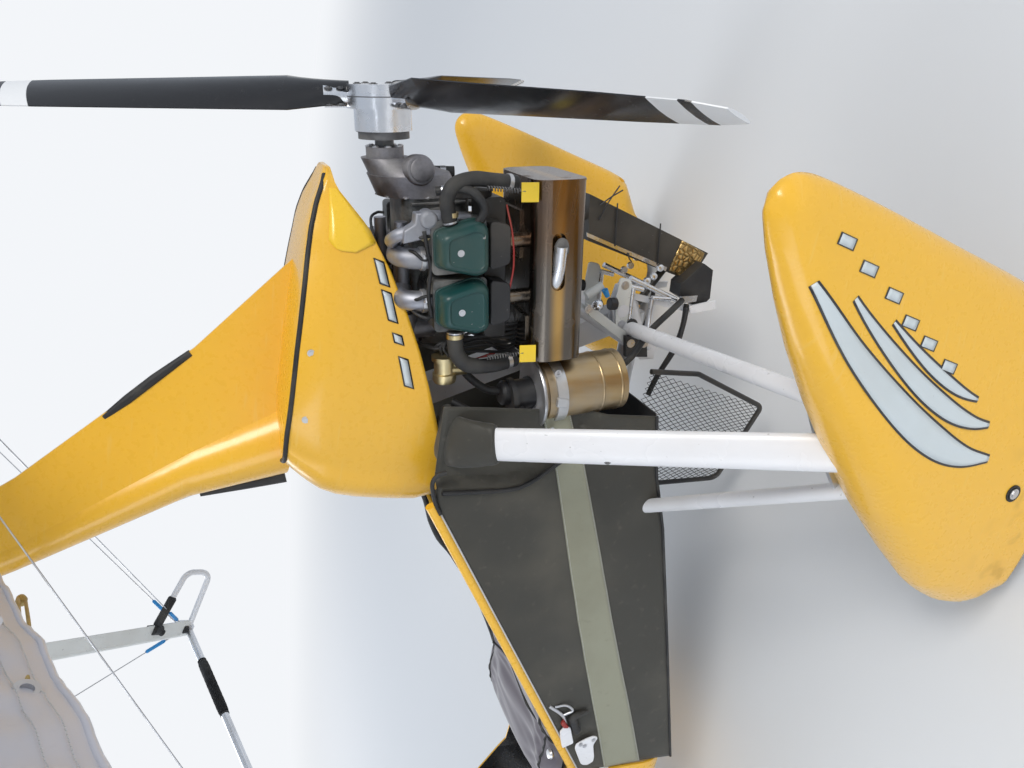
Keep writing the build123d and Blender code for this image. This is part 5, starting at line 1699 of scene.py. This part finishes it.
@dataclass
class Bodywork(Assembly):
    """Cowl, pylon, pod, side skirts and rails."""

    belly: tuple = ((-1190, 216), (-745, 352), (-405, 459), (-253, 519), (-96, 560))
    rail: tuple = ((-1182, 540), (-325, 1078), (-98, 1083))
    band: tuple = ((-1190, 322, 441), (-660, 545, 645), (-221, 724, 800), (-98, 778, 848))
    fold: tuple = ((560, -96), (700, -120), (783, -213), (855, -270), (950, -283), (1090, -283))
    half: float = 292.0
    hems: tuple = (
        ((-343, 1054), (-317, 1068), (-271, 1082), (-249, 1074), (-242, 1055)),
        ((-292, 1057), (-287, 912), (-270, 855), (-213, 783)),
    )
    roll: tuple = (
        (-1501, 456, 9), (-1338, 512, 12), (-1191, 566, 13), (-1000, 668, 7), (-835, 780, 6), (-767, 832, 11),
        (-702, 868, 11), (-600, 912, 7), (-400, 1034, 6), (-330, 1076, 5),
    )
    lever_outline: tuple = (
        (-1148, 513), (-1143, 533), (-1080, 566), (-1065, 565), (-1050, 533), (-1046, 514), (-1053, 500), (-1077, 510),
        (-1120, 497), (-1138, 496),
    )
    bracket: tuple = ((-1078, 604), (-1018, 622), (-1002, 610), (-1008, 592), (-1066, 570))
    strap: tuple = (9, 11, 12, 12, 11, 11, 10, 10, 10, 10, 11, 11, 11, 12, 12, 11, 11, 10, 9, 9, 8, 8, 7, 6, 5)
    cowl_low: tuple = (
        (-396, 1010), (-372, 1000), (-340, 1001), (-298, 1014), (-196, 1052), (-97, 1088), (-7, 1121), (76, 1157),
        (154, 1195), (230, 1242), (271, 1282), (298, 1308), (330, 1318),
    )
    cowl_top: tuple = (
        (-410, 1360), (-295, 1372), (-206, 1375), (-111, 1372), (-24, 1369), (58, 1364), (137, 1359), (215, 1353),
        (262, 1344), (306, 1329), (330, 1324),
    )
    cowl_front: tuple = (
        (1005, -352), (1026, -396), (1069, -410), (1131, -408), (1190, -404), (1249, -395), (1298, -374), (1340, -340),
        (1372, -310),
    )
    cowl_shares: tuple = (0, 0.03, 0.1, 0.2, 0.32, 0.45, 0.58, 0.7, 0.8, 0.87, 0.92, 0.96, 0.985, 1.0)
    flank_arc: tuple = ((-300, 196), (-92, 215), (170, 150))
    tail_arc: tuple = ((170, 150), (262, 112), (330, 46))
    bow: float = -92.0
    bow_long: float = 318.0

    def bulge(self, y: float, share: float) -> float:
        """How far the cloth stands off its flat, in millimetres."""
        ripple = noise.noise((y / 230, share * 2.2, 2.0)) * 5 + noise.noise((y / 70, share * 5, 6.0)) * 1.5
        return (ripple - 3) * sin(pi * min(max(share, 0), 1))

    def cloth_x(self, y: float, z: float, share: float) -> float:
        """How far out the cloth of the side lies: its flat, less the turned-in rear."""
        turned = min(max((y - level(self.fold, z)) / 16, 0), 1) * min(max((z - 690) / 40, 0), 1)
        return self.half + self.bulge(y, share) - 25 * turned

    def skirt(self, side: Side) -> None:
        """Cloth side with its sewn band and stitches.

        Args:
            side: The side of the trike.
        """
        rows, strip, count = [], [], 40
        for y in (-1186 + i * 1084 / 120 for i in range(121)):
            low, high = level(self.belly, y), level(self.rail, y) - 10
            heights = [low + (high - low) * j / count for j in range(count + 1)]
            rows.append([(side * self.cloth_x(y, z, j / count), y, z) for j, z in enumerate(heights)])
            bottom, top = level(self.band, y), level(self.band, y, 2)
            heights = [bottom + (top - bottom) * j / 8 for j in range(9)]
            strip.append([(side * (self.cloth_x(y, z, (z - low) / (high - low)) + 2.6), y, z) for z in heights])
        strip.pop()
        replaces = "side_skirts" if side is Side.PORT else ""
        cloth = Form(self.body).skin(rows)
        piece = cloth.make(f"skirt_{side.word}", CHARCOAL, "charcoal_fabric", replaces, thick=2.0)
        band = Form(self.body).skin(strip)
        band.make(f"skirt_band_{side.word}", BAND_CLOTH, "charcoal_fabric", thick=1.2)
        for n, (column, inset) in enumerate(((0, 3), (-1, -3))):
            path = [Vector(row[column]) + Vector((side * 1.2, 0, inset)) for row in strip]
            self.stitches.sew(f"band_stitch_{side.word}_{n}", path, self.body, 6.0, 0.5)
        self.piping(side, rows)

    def piping(self, side: Side, rows: Sequence[Sequence[Point]]) -> None:
        """Piping below and above the cloth side, its rubber hems and, to starboard, its rolled front edge.

        Args:
            side: The side of the trike.
            rows: The rows of points of the cloth.
        """
        piping = Form(self.body)
        piping.tube([Vector(row[0]) + Vector((side * 1.5, 0, 2)) for row in rows], 4, 8)
        for hem in self.hems:
            piping.hose([(side * (self.half + 5), y, z) for y, z in hem], 5, 10)
        if side is Side.STARBOARD:
            path = flowing([(side * 281, y, z) for y, z, _ in self.roll], 4)
            sizes = tuple(enumerate(radius for _, _, radius in self.roll))
            piping.tube(path, [level(sizes, n / 4) for n in range(len(path))], 12)
        piping.make(f"skirt_piping_{side.word}", RUBBER, "black_plastic")
        edge = Form(self.body).tube([Vector(row[-1]) + Vector((side * 3, 0, -4)) for row in rows[:95:3]], 2.2, 8)
        edge.make(f"rail_piping_{side.word}", THREAD, "charcoal_fabric")

    def lever(self) -> None:
        """White lever plate, its handle and rod on the port side of the front seat."""
        plate = Form(self.body).slab(closed([(303, y, z) for y, z in self.lever_outline], 9), (5, 0, 0))
        plate.slab(closed([(297, y, z) for y, z in self.bracket], 6), (5, 0, 0))
        plate.make("lever_plate", WHITE, "white_paint", bevel=1.5)
        rod = Form(self.body).hose([(296, -1012, 600), (298, -965, 624), (292, -932, 668)], 5, 12)
        rod.hose([(298, -965, 624), (303, -948, 600), (300, -930, 622), (294, -936, 650)], 3.5, 10)
        rod.turned((262, -1134, 604), (0, 0, 1), [(0, 0), (0, 12), (6, 15), (12, 12), (15, 0)], 20)
        rod.make("lever_rod", STEEL, "polished_aluminium")
        path = [(304, -1001, 604), (304, -996, 612), (303, -986, 620), (303, -980, 622)]
        Form(self.body).tube(path, [4, 7, 7, 4], 14).make("lever_knob", RED, "black_plastic")
        path = [(299, -1028, 566), (301, -1000, 582), (301, -972, 590), (299, -962, 548)]
        Form(self.body).hose(path, self.strap, 12).make("lever_strap", RUBBER, "black_plastic")
        spots = [((309, y, z), (1, 0, 0)) for y, z in ((-1058, 514), (-1074, 538), (-1067, 552))]
        self.bolts.place("lever_screws", spots, self.body, (4, 4))

    def swept(self, y: float, z: float) -> float:
        """Station at one height of a station of the cowl's plan, whose front curves."""
        if y > self.bow:
            return y
        return self.bow + (y - self.bow) * (level(self.cowl_front, z) - self.bow) / -self.bow_long

    def cowl_x(self, y: float, z: float = 1150.0) -> float:
        """Half width of the cowl's flank at one point of its side view.

        Args:
            y: The point's station.
            z: Its height.

        Returns:
            The half width.
        """
        flat = y
        if y <= self.bow:
            flat = self.bow + (y - self.bow) * self.bow_long / -(level(self.cowl_front, z) - self.bow)
        table = self.nose() + arc(*self.flank_arc, 60) if y < 170 else arc(*self.tail_arc, 40)
        wide = level(table, max(flat, table[0][0]))
        shoulder = min(max((z - level(self.cowl_top, y) + 78) / 78, 0), 1)
        return wide - 15 * shoulder * shoulder * min(wide / 100, 1)

    @staticmethod
    def nose() -> list[tuple[float, float]]:
        """Plan of the cowl's blunt front, from its middle to its flank."""
        turns = [pi / 2 * i / 16 for i in range(17)]
        return [(-300 - 110 * cos(t) ** 0.8, 196 * sin(t) ** 0.8) for t in turns]

    def shell(self) -> None:
        """Smooth cowl with a round front, a soft shoulder under the seam and an open underside."""
        line = [*arc(*self.tail_arc, 10)[::-1], *arc(*self.flank_arc, 26)[-2::-1], *self.nose()[-2::-1]]
        plan = [(0, 330), *((x, y) for y, x in line)]
        plan += [(-x, y) for x, y in reversed(plan[1:-1])]
        rings = []
        for share in self.cowl_shares:
            ring = []
            for x, y in plan:
                foot = self.swept(y, 1030)
                low, high = level(self.cowl_low, foot), level(self.cowl_top, foot)
                z = low + (high - low) * share
                aft = self.swept(y, z)
                wide = abs(x) * (1 - 0.07 * max(share - 0.8, 0) * 5)
                if abs(y) < 300:
                    wide = min(abs(x), self.cowl_x(aft, z))
                ring.append(Vector((copysign(wide, x), aft, z)))
            rings.append(ring)
        brim = rings[-1]
        for scale, rise in ((0.97, 4), (0.85, 7), (0.5, 10), (0.0, 12)):
            rings.append([Vector((p.x * scale, p.y * (0.9 + 0.1 * scale), p.z + rise)) for p in brim])
        form = Form(self.body).faces(rings, True, False)
        form.make("cowl_shell", YELLOW, "yellow_gel", "engine_cowl", sharp=50, thick=3.0)

    def inset(self, side: Side) -> None:
        """Rubber seam under the top edge, and the brighter patch at the tail, which is a painted highlight.

        Args:
            side: The side of the cowl.
        """
        path = [(side * (self.cowl_x(y, 1370) - 1), y, level(self.cowl_top, y) + 2) for y in range(-296, 317, 12)]
        Form(self.body).tube(path, 5.5, 10).make(f"cowl_seam_{side.word}", RUBBER, "black_plastic")
        # Brighter yellow patch over the flank near the tail: a painted highlight.
        rows = []
        for y in (181 + i * 125 / 32 for i in range(33)):
            low = max(1267 - 1.8 * (y - 181), level(self.cowl_low, y) + 2)
            high = 1296 + 6 * sqrt(max(19 - (200 - y), 0)) if y < 200 else 1322.0
            high = max(high, low + 1)
            heights = [low + (high - low) * j / 6 for j in range(7)]
            rows.append([(side * (self.cowl_x(y, z) + 2.6), y, z) for z in heights])
        form = Form(self.body).skin(rows)
        form.make(f"cowl_inset_{side.word}", YELLOW_HIGHLIGHT, "yellow_gel", thick=1.2)

    def marks(self, side: Side) -> None:
        """Plain slanted bars on the cowl's flank, each with a dark edge.

        Args:
            side: The side of the cowl.
        """
        bars = ((-81, 1131, 58), (10, 1161, 15), (54, 1177, 54), (124, 1198, 42))
        layers = (("mark", 0, 3.0, GREY_MARK), ("edge", 3.2, 2.3, DARK_MARK))
        for n, (start, rise, long) in enumerate(bars):
            for label, grow, off, finish in layers:
                rows = []
                for i in range(7):
                    y = start - grow + (long + 2 * grow) * i / 6
                    x, base = side * (self.cowl_x(y) + off), rise + (y - start) * 0.3
                    rows.append([(x, y, base - grow), (x, y + 6, base + 17 + grow)])
                bar = Form(self.body).skin(rows)
                bar.make(f"cowl_{label}_{side.word}_{n}", finish, "yellow_gel", thick=0.4)

    def pylon(self) -> None:
        """Black trailing strip, foot wedge and the bung of the pylon fairing."""
        path = [(0, y + 7, z + 4) for y, z in ((-262, 1728), (-220, 1684), (-170, 1632), (-108, 1563))]
        Form(self.body).tube(path, [7, 11, 11, 8], 12).make("pylon_strip", RUBBER, "black_plastic")
        wedge = Form(self.body).tube([(0, -441, 1536), (0, -415, 1440), (0, -388, 1352)], [9, 17, 26], 14)
        wedge.make("pylon_wedge", RUBBER, "black_plastic")
        profile = [(0, 9), (3.5, 9), (4.2, 7), (3, 6), (3, 0)]
        bung = Form(self.body).turned((40, -509, 1765), (1, 0, 0), profile, 24)
        bung.make("pylon_bung", RUBBER, "black_plastic")

    def build(self) -> None:
        """Build and dress the bodywork."""
        self.dress(LINED, "pod_shell")
        self.dress(YELLOW, "pylon_fairing", "side_rails")
        self.dress(CLEAR, "windscreen")
        self.dress(PLASTIC, "instrument_panel", "belly_floor")
        for side in Side:
            self.skirt(side)
        self.lever()
        self.shell()
        for side in Side:
            self.inset(side)
            self.marks(side)
        spots = [((side * (self.cowl_x(y, 1345) + 1.5), y, 1345), (side, 0, 0)) for side in Side for y in (-162, -20)]
        self.bolts.place("cowl_screws", spots, self.body, (5, 4))
        self.pylon()


@dataclass
class Undercarriage(Assembly):
    """Legs, struts, wheel fairings, wheels and the stone guard."""

    face: float = 868.0
    middle: float = 780.0
    outline: tuple = (
        (-262, 45), (-284, 70), (-292, 105), (-284, 148), (-243, 228), (-175, 312), (-77, 421), (15, 511), (111, 598),
        (210, 680), (291, 738), (367, 785), (421, 812), (452, 813), (474, 797), (485, 768), (481, 715), (453, 576),
        (413, 402), (371, 222), (340, 165), (250, 112),
    )
    depths: tuple = (
        (-330, 40), (-290, 55), (-240, 70), (-150, 83), (-60, 88), (40, 86), (120, 80), (300, 53), (500, 24),
    )
    scales: tuple = (1.0, 0.992, 0.975, 0.95, 0.92, 0.88, 0.83, 0.76, 0.66, 0.5, 0.3, 0.1)
    leg_ends: tuple = ((20, -294, 1332), (740, 21, 512))
    boot_knots: tuple = ((272, -180, 1032), (226, -190, 1038), (180, -196, 1036))
    squares: tuple = ((403, 686), (368, 633), (333, 571), (294, 524), (264, 474), (229, 417))
    stroke: tuple = ((70, 262, 0), (74, 330, 0), (98, 404, 0), (150, 500, 0), (236, 620, 0), (336, 728, 0))
    net_corners: tuple = ((10, -430, 455), (20, -410, 105), (115, -140, 100), (125, -50, 490))

    def plugs(self) -> None:
        """Axle plugs on the outer faces of the wheel fairings, and their bolts."""
        for side in Side:
            profile = [(0, 17), (4, 17), (5, 15), (3, 11), (3, 0)]
            plug = Form(self.body).turned((side * (self.face - 2), 0, 162), (side, 0, 0), profile, 32)
            plug.make(f"axle_plug_{side.word}", RUBBER, "black_plastic")
        spots = [((side * (self.face + 3), 0, 162), (side, 0, 0)) for side in Side]
        self.bolts.place("axle_bolts", spots, self.body, (7, 5))

    @staticmethod
    def sections(stations: Sequence[tuple], side: Side, crumple: float) -> list[list[Vector]]:
        """Streamlined sections along a leg.

        Args:
            stations: Place, half chord and half thickness of each.
            side: The side of the trike, which changes the folds.
            crumple: Depth of the folds, as a share of the size.

        Returns:
            The rings of points.
        """
        rings = []
        for n, (point, chord, thick) in enumerate(stations):
            one, two = stations[max(n - 1, 0)][0], stations[min(n + 1, len(stations) - 1)][0]
            ahead = (two - one).normalized()
            across = (Vector((0, 1, 0)) - ahead * ahead.y).normalized()
            out = ahead.cross(across)
            ring = []
            for k in range(36):
                turn = FULL_TURN * k / 36
                fold = 1 + crumple * noise.noise((k * 0.9, n * 0.7, side))
                blunt = copysign(abs(sin(turn)) ** 0.8, sin(turn)) * (1 - 0.18 * cos(turn))
                ring.append(point + across * cos(turn) * chord * fold + out * blunt * thick * fold)
            rings.append(ring)
        return rings

    def legs(self) -> None:
        """Streamlined main legs and the cloth boots round their upper ends."""
        legs, boots, pins = Form(self.body), Form(self.body), []
        for side in Side:
            top, foot = (Vector((side * x, y, z)) for x, y, z in self.leg_ends)
            path = [(top.lerp(foot, t), 36, 17) for t in (0.4, 0.5, 0.62, 0.74, 0.87, 1.06)]
            knots = [top.lerp(foot, t) for t in (0.446, 0.42, 0.39)]
            knots += [Vector((side * x, y, z)) for x, y, z in self.boot_knots]
            hull = [(p, 43 + 1.2 * n, 24) for n, p in enumerate(flowing(knots, 4))]
            legs.stacked(self.sections(path, side, 0.0))
            boots.stacked(self.sections(hull, side, 0.07))
            pins.append((top.lerp(foot, 0.655) + Vector((side * 12.8, -24, 6)), (side * 0.75, 0, 0.66)))
        legs.make("leg_fairings", WHITE, "white_paint", "main_legs", sharp=60)
        boots.make("leg_boots", CHARCOAL, "charcoal_fabric", sharp=70, smooth=1)
        self.bolts.place("leg_pins", pins, self.body, (5, 1.5), DARK_STEEL)

    def fairing(self) -> None:
        """Smooth closed wheel fairings, open below round the tyre."""
        low = [Vector((y, z, 0)) for y, z in ((250, 112), (60, 45), (-60, 45), (-180, 45), (-262, 45))]
        floor = [a.lerp(b, t / 6) for a, b in zip(low, low[1:]) for t in range(6)]
        loop = flowing([Vector((y, z, 0)) for y, z in self.outline], 6) + floor[1:]
        heart = Vector((60, 330, 0))
        form = Form(self.body)
        for side in Side:
            layers = []
            for way in (1, -1):
                rings = []
                for scale in self.scales:
                    ring = []
                    for q in (heart.lerp(p, scale) for p in loop):
                        x = 0.0 if scale == 1.0 else self.flank(q.x, q.y)
                        ring.append(Vector((side * (self.middle + way * x), q.x, q.y)))
                    rings.append(ring)
                layers.append(rings)
            form.faces([*reversed(layers[1]), *layers[0][1:]], True, True)
        gone = []
        for f in form.mesh.faces:
            rim = [v for v in f.verts if abs(abs(v.co.x) - self.middle) < 0.01]
            if len(rim) == 2 and all(v.co.z < 121 and -262.5 < v.co.y < 250.5 for v in f.verts):
                gone.append(f)
        bmesh.ops.delete(form.mesh, geom=gone, context="FACES")
        form.make("wheel_fairings", YELLOW, "yellow_gel", "spats", sharp=60, thick=2.4)

    def flank(self, y: float, z: float) -> float:
        """Half thickness of the fairing at one point of its side view.

        Args:
            y: The point's station.
            z: Its height.

        Returns:
            The half thickness, which falls to nothing at the outline.
        """
        spot, near = Vector((y, z)), []
        ring = [Vector(p) for p in self.outline]
        for a, b in zip(ring, ring[1:]):
            t = min(max((spot - a).dot(b - a) / (b - a).length_squared, 0), 1)
            near.append((spot - a.lerp(b, t)).length)
        return level(self.depths, y) * (1 - (1 - min(min(near) / 62, 1)) ** 2) ** 0.5

    def bars(self) -> list[list[tuple[float, float]]]:
        """Outlines of the plain squares and swept strokes on the fairings.

        Returns:
            Each outline as pairs of y and z, down one edge and back along the other.
        """
        bars = [[(y - 11, z - 12), (y + 4, z - 16), (y + 10, z + 12), (y - 5, z + 16)] for y, z in self.squares]
        curve = flowing(self.stroke)
        for shift, wide, first, last in ((0, 23, 0, 41), (62, 14, 3, 35), (102, 8, 8, 29)):
            line = [p + Vector((shift, 0, 0)) for p in curve[first:last]]
            count, rails = len(line), [[], []]
            for n, p in enumerate(line):
                ahead = line[min(n + 1, count - 1)] - line[max(n - 1, 0)]
                swell = 0.15 + sin(pi * (n + 0.3) / count)
                away = Vector((-ahead.y, ahead.x, 0)).normalized() * wide * swell
                rails[0].append(p + away)
                rails[1].append(p - away)
            bars.append([(p.x, p.y) for p in [*rails[0], *reversed(rails[1])]])
        return bars

    def marks(self, side: Side) -> None:
        """Plain outlined squares and swept strokes on the outer face of a fairing.

        Args:
            side: The side of the trike.
        """
        for label, finish, lift in (("edge", DARK_MARK, 0.7), ("mark", GREY_MARK, 1.2)):
            form = Form(self.body)
            for bar in self.bars():
                half, edged = len(bar) // 2, label == "edge"
                middle = Vector((sum(y for y, _ in bar) / len(bar), sum(z for _, z in bar) / len(bar)))
                rail = []
                for y, z in bar:
                    away = (Vector((y, z)) - middle).normalized() * (3.4 if edged and half == 2 else 0)
                    along, up = y + away.x, z + away.y
                    rail.append(Vector((side * (781.2 + self.flank(along, up) + lift), along, up)))
                pairs = list(zip(rail[:half], reversed(rail[half:])))
                if edged and half > 2:
                    pairs = [(a + (a - b).normalized() * 4, b + (b - a).normalized() * 4) for a, b in pairs]
                form.skin([[a.lerp(b, t / 4) for t in range(5)] for a, b in pairs])
            form.make(f"spat_{label}_{side.word}", finish, "yellow_gel", thick=0.5)

    def linkage(self, side: Side) -> None:
        """Spring arms, links, hoses and clamps between the base tube and the axle.

        Args:
            side: The side of the trike.
        """
        way = (side, 0, 0)
        arm = at(side * 92, (78, 688), (108, 698), (30, 550), (1, 546))
        plate = at(side * 84, (37, 595), (39, 570), (146, 572), (172, 585), (174, 616), (120, 615))
        pale = Form(self.body).slab(closed(arm, 8), (side * 10, 0, 0))
        pale.tube(at(side * 70, (117, 688), (147, 650)), 11, 16).slab(closed(plate, 10), (side * 5, 0, 0))
        pale.make(f"spring_arms_{side.word}", PALE, "white_paint", bevel=2)
        bright = Form(self.body)
        for x, start, end, radius, sides in (
            (86, (20, 558), (151, 573), 7, 14), (82, (36, 501), (128, 510), 8.5, 14),
            (80, (153, 579), (148, 540), 6, 12), (76, (129, 507), (130, 453), 6, 12),
            (72, (172, 578), (129, 433), 7, 12),
        ):
            bright.tube(at(side * x, start, end), radius, sides)
        bright.slab(at(side * 70, (119, 424), (139, 420), (146, 373), (130, 373)), (side * 6, 0, 0))
        for y, z in ((167, 522), (203, 493), (180, 506)):
            bright.turned((side * 56, y, z), way, [(0, 9), (8, 9), (10, 6), (10, 0)], 18)
        ball = [(14 * sin(a), 14 * cos(a)) for a in (-1.2, -0.8, -0.4, 0, 0.4, 0.8, 1.2)]
        bright.turned((side * 104, 105, 670), way, [(-14, 0), *ball, (14, 0)], 24)
        bright.make(f"spring_links_{side.word}", POLISHED, "polished_aluminium")
        dark = Form(self.body).tube(at(side * 92, (109, 614), (108, 633)), 15, 20)
        dark.turned((side * 92, 61, 558), way, [(0, 15), (6, 15), (8, 10), (8, 0)], 24)
        dark.hose(at(side * 84, (-78, 442), (2, 407), (62, 400), (114, 402)), 6.5, 12)
        dark.slab(at(side * 108, (-16, 572), (37, 585), (41, 524), (-13, 509)), (side * 14, 0, 0))
        dark.make(f"spring_bushes_{side.word}", PLASTIC, "black_plastic", bevel=1.5)
        plug = Form(self.body).tube(at(side * 90, (125, 640), (141, 652)), [6, 8], 14)
        plug.make(f"blue_plug_{side.word}", BLUE, "black_plastic")
        heads = [*at(side * 102, (93, 690), (16, 552)), *at(side * 122, (20, 566), (22, 528))]
        heads += at(side * 89, (58, 584), (156, 598))
        self.bolts.place(f"spring_bolts_{side.word}", [(p, way) for p in heads], self.body, (7, 6))

    def guard(self) -> None:
        """Net laced in the stone guard's frame."""
        a, b, c, d = (Vector(p) for p in self.net_corners)
        across, down = 22, 16
        points, edges = [], []
        for i in range(across + 1):
            s = i / across
            for j in range(down + 1):
                points.append(self.body.matrix @ (a.lerp(d, s)).lerp(b.lerp(c, s), j / down))
                if i < across and j < down:
                    first = i * (down + 1) + j
                    edges += [(first, first + down + 2), (first + down + 1, first + 1)]
        self.net.run(carrier("guard_grid", points, edges), "guard_net", NET, Body.TRIKE, "black_paint", Cord=0.9)

    def build(self) -> None:
        """Build and dress the undercarriage."""
        self.dress(WHITE, "mast", "lower_struts", "nose_strut", "suspension_links")
        self.dress(ALLOY, "base_tube", "axle_carriers", "seat_frame")
        self.dress(BLACK, "stone_guard", "nose_fork")
        self.dress(PLASTIC, "nose_mudguard")
        for wheel in ("nose", "port", "starboard"):
            self.dress(TYRE, f"{wheel}_tyre")
            self.dress(ALLOY, f"{wheel}_rim")
        self.legs()
        self.fairing()
        self.plugs()
        for side in Side:
            self.marks(side)
        for side in Side:
            self.linkage(side)
        self.guard()


@dataclass
class Cockpit(Assembly):
    """Padded seats."""

    half: float = 262.0
    thick: float = 40.0
    front: tuple = ((-1392, 500), (-1310, 536), (-1210, 566), (-1100, 574), (-972, 628), (-930, 646))
    rear: tuple = ((-872, 658), (-700, 672), (-575, 694), (-514, 770), (-462, 942))
    across: int = 28

    def pad(self, name: str, node: str, spine: Sequence[Point]) -> None:
        """Crowned, creased pad with piping.

        Args:
            name: The pad's name.
            node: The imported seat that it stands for.
            spine: Its middle line as pairs of y and z.
        """
        path = flowing([(0, y, z) for y, z in spine], 10)
        marks = [0.0]
        for one, two in zip(path, path[1:]):
            marks.append(marks[-1] + (two - one).length)
        rings = []
        for k, point in enumerate(path):
            after, before = path[min(k + 1, len(path) - 1)], path[max(k - 1, 0)]
            out = Vector((1, 0, 0)).cross((after - before).normalized()).normalized()
            share = marks[k] / marks[-1]
            end = max(1e-3, 1 - (2 * share - 1) ** 8) ** 0.5
            ring = []
            for i in range(2 * self.across):
                turn = pi * (i + 0.5) / self.across
                x = self.half * (abs(cos(turn)) ** 0.35) * (1 if cos(turn) > 0 else -1) * (0.93 + 0.07 * end)
                rise = abs(sin(turn)) ** 0.6 * (1 if sin(turn) > 0 else -0.45)
                spot = (x / 90, marks[k] / 66, self.thick / 9)
                crease = noise.noise(spot) * 19 - abs(noise.noise(Vector(spot) * 2.1)) * 24 + 6
                lift = rise * self.thick * end + (crease * min(rise, 1) * end if rise > 0 else 0)
                ring.append(point + Vector((x, 0, 0)) + out * lift)
            rings.append(ring)
        piping = Form(self.body)
        for column in (8, 20):
            piping.tube([ring[column] for ring in rings[2:-2]], 4, 8)
        piping.tube(rings[len(rings) * 3 // 5][3 : self.across - 3], 4, 8)
        piping.make(f"{name}_piping", RUBBER, "seat_fabric")
        form = Form(self.body).faces(rings, True, True)
        form.make(name, SEAT_CLOTH, "seat_fabric", node, sharp=70, smooth=1)

    def build(self) -> None:
        """Build the seats."""
        self.pad("pilot_pad", "front_seat", self.front)
        self.pad("passenger_pad", "rear_seat", self.rear)


def main() -> None:
    """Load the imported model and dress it."""
    logging.basicConfig(level=logging.INFO, format="%(name)s: %(message)s")
    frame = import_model()
    bpy.context.scene.view_settings.view_transform = "Standard"
    noise.seed_set(NOISE_SEED)
    kit = Kit(frame["nodes"])
    for group in (Studio, Wing, ControlFrame, PowerUnit, Propeller, Bodywork, Undercarriage, Cockpit):
        group(kit).build()


if __name__ == "__main__":
    main()
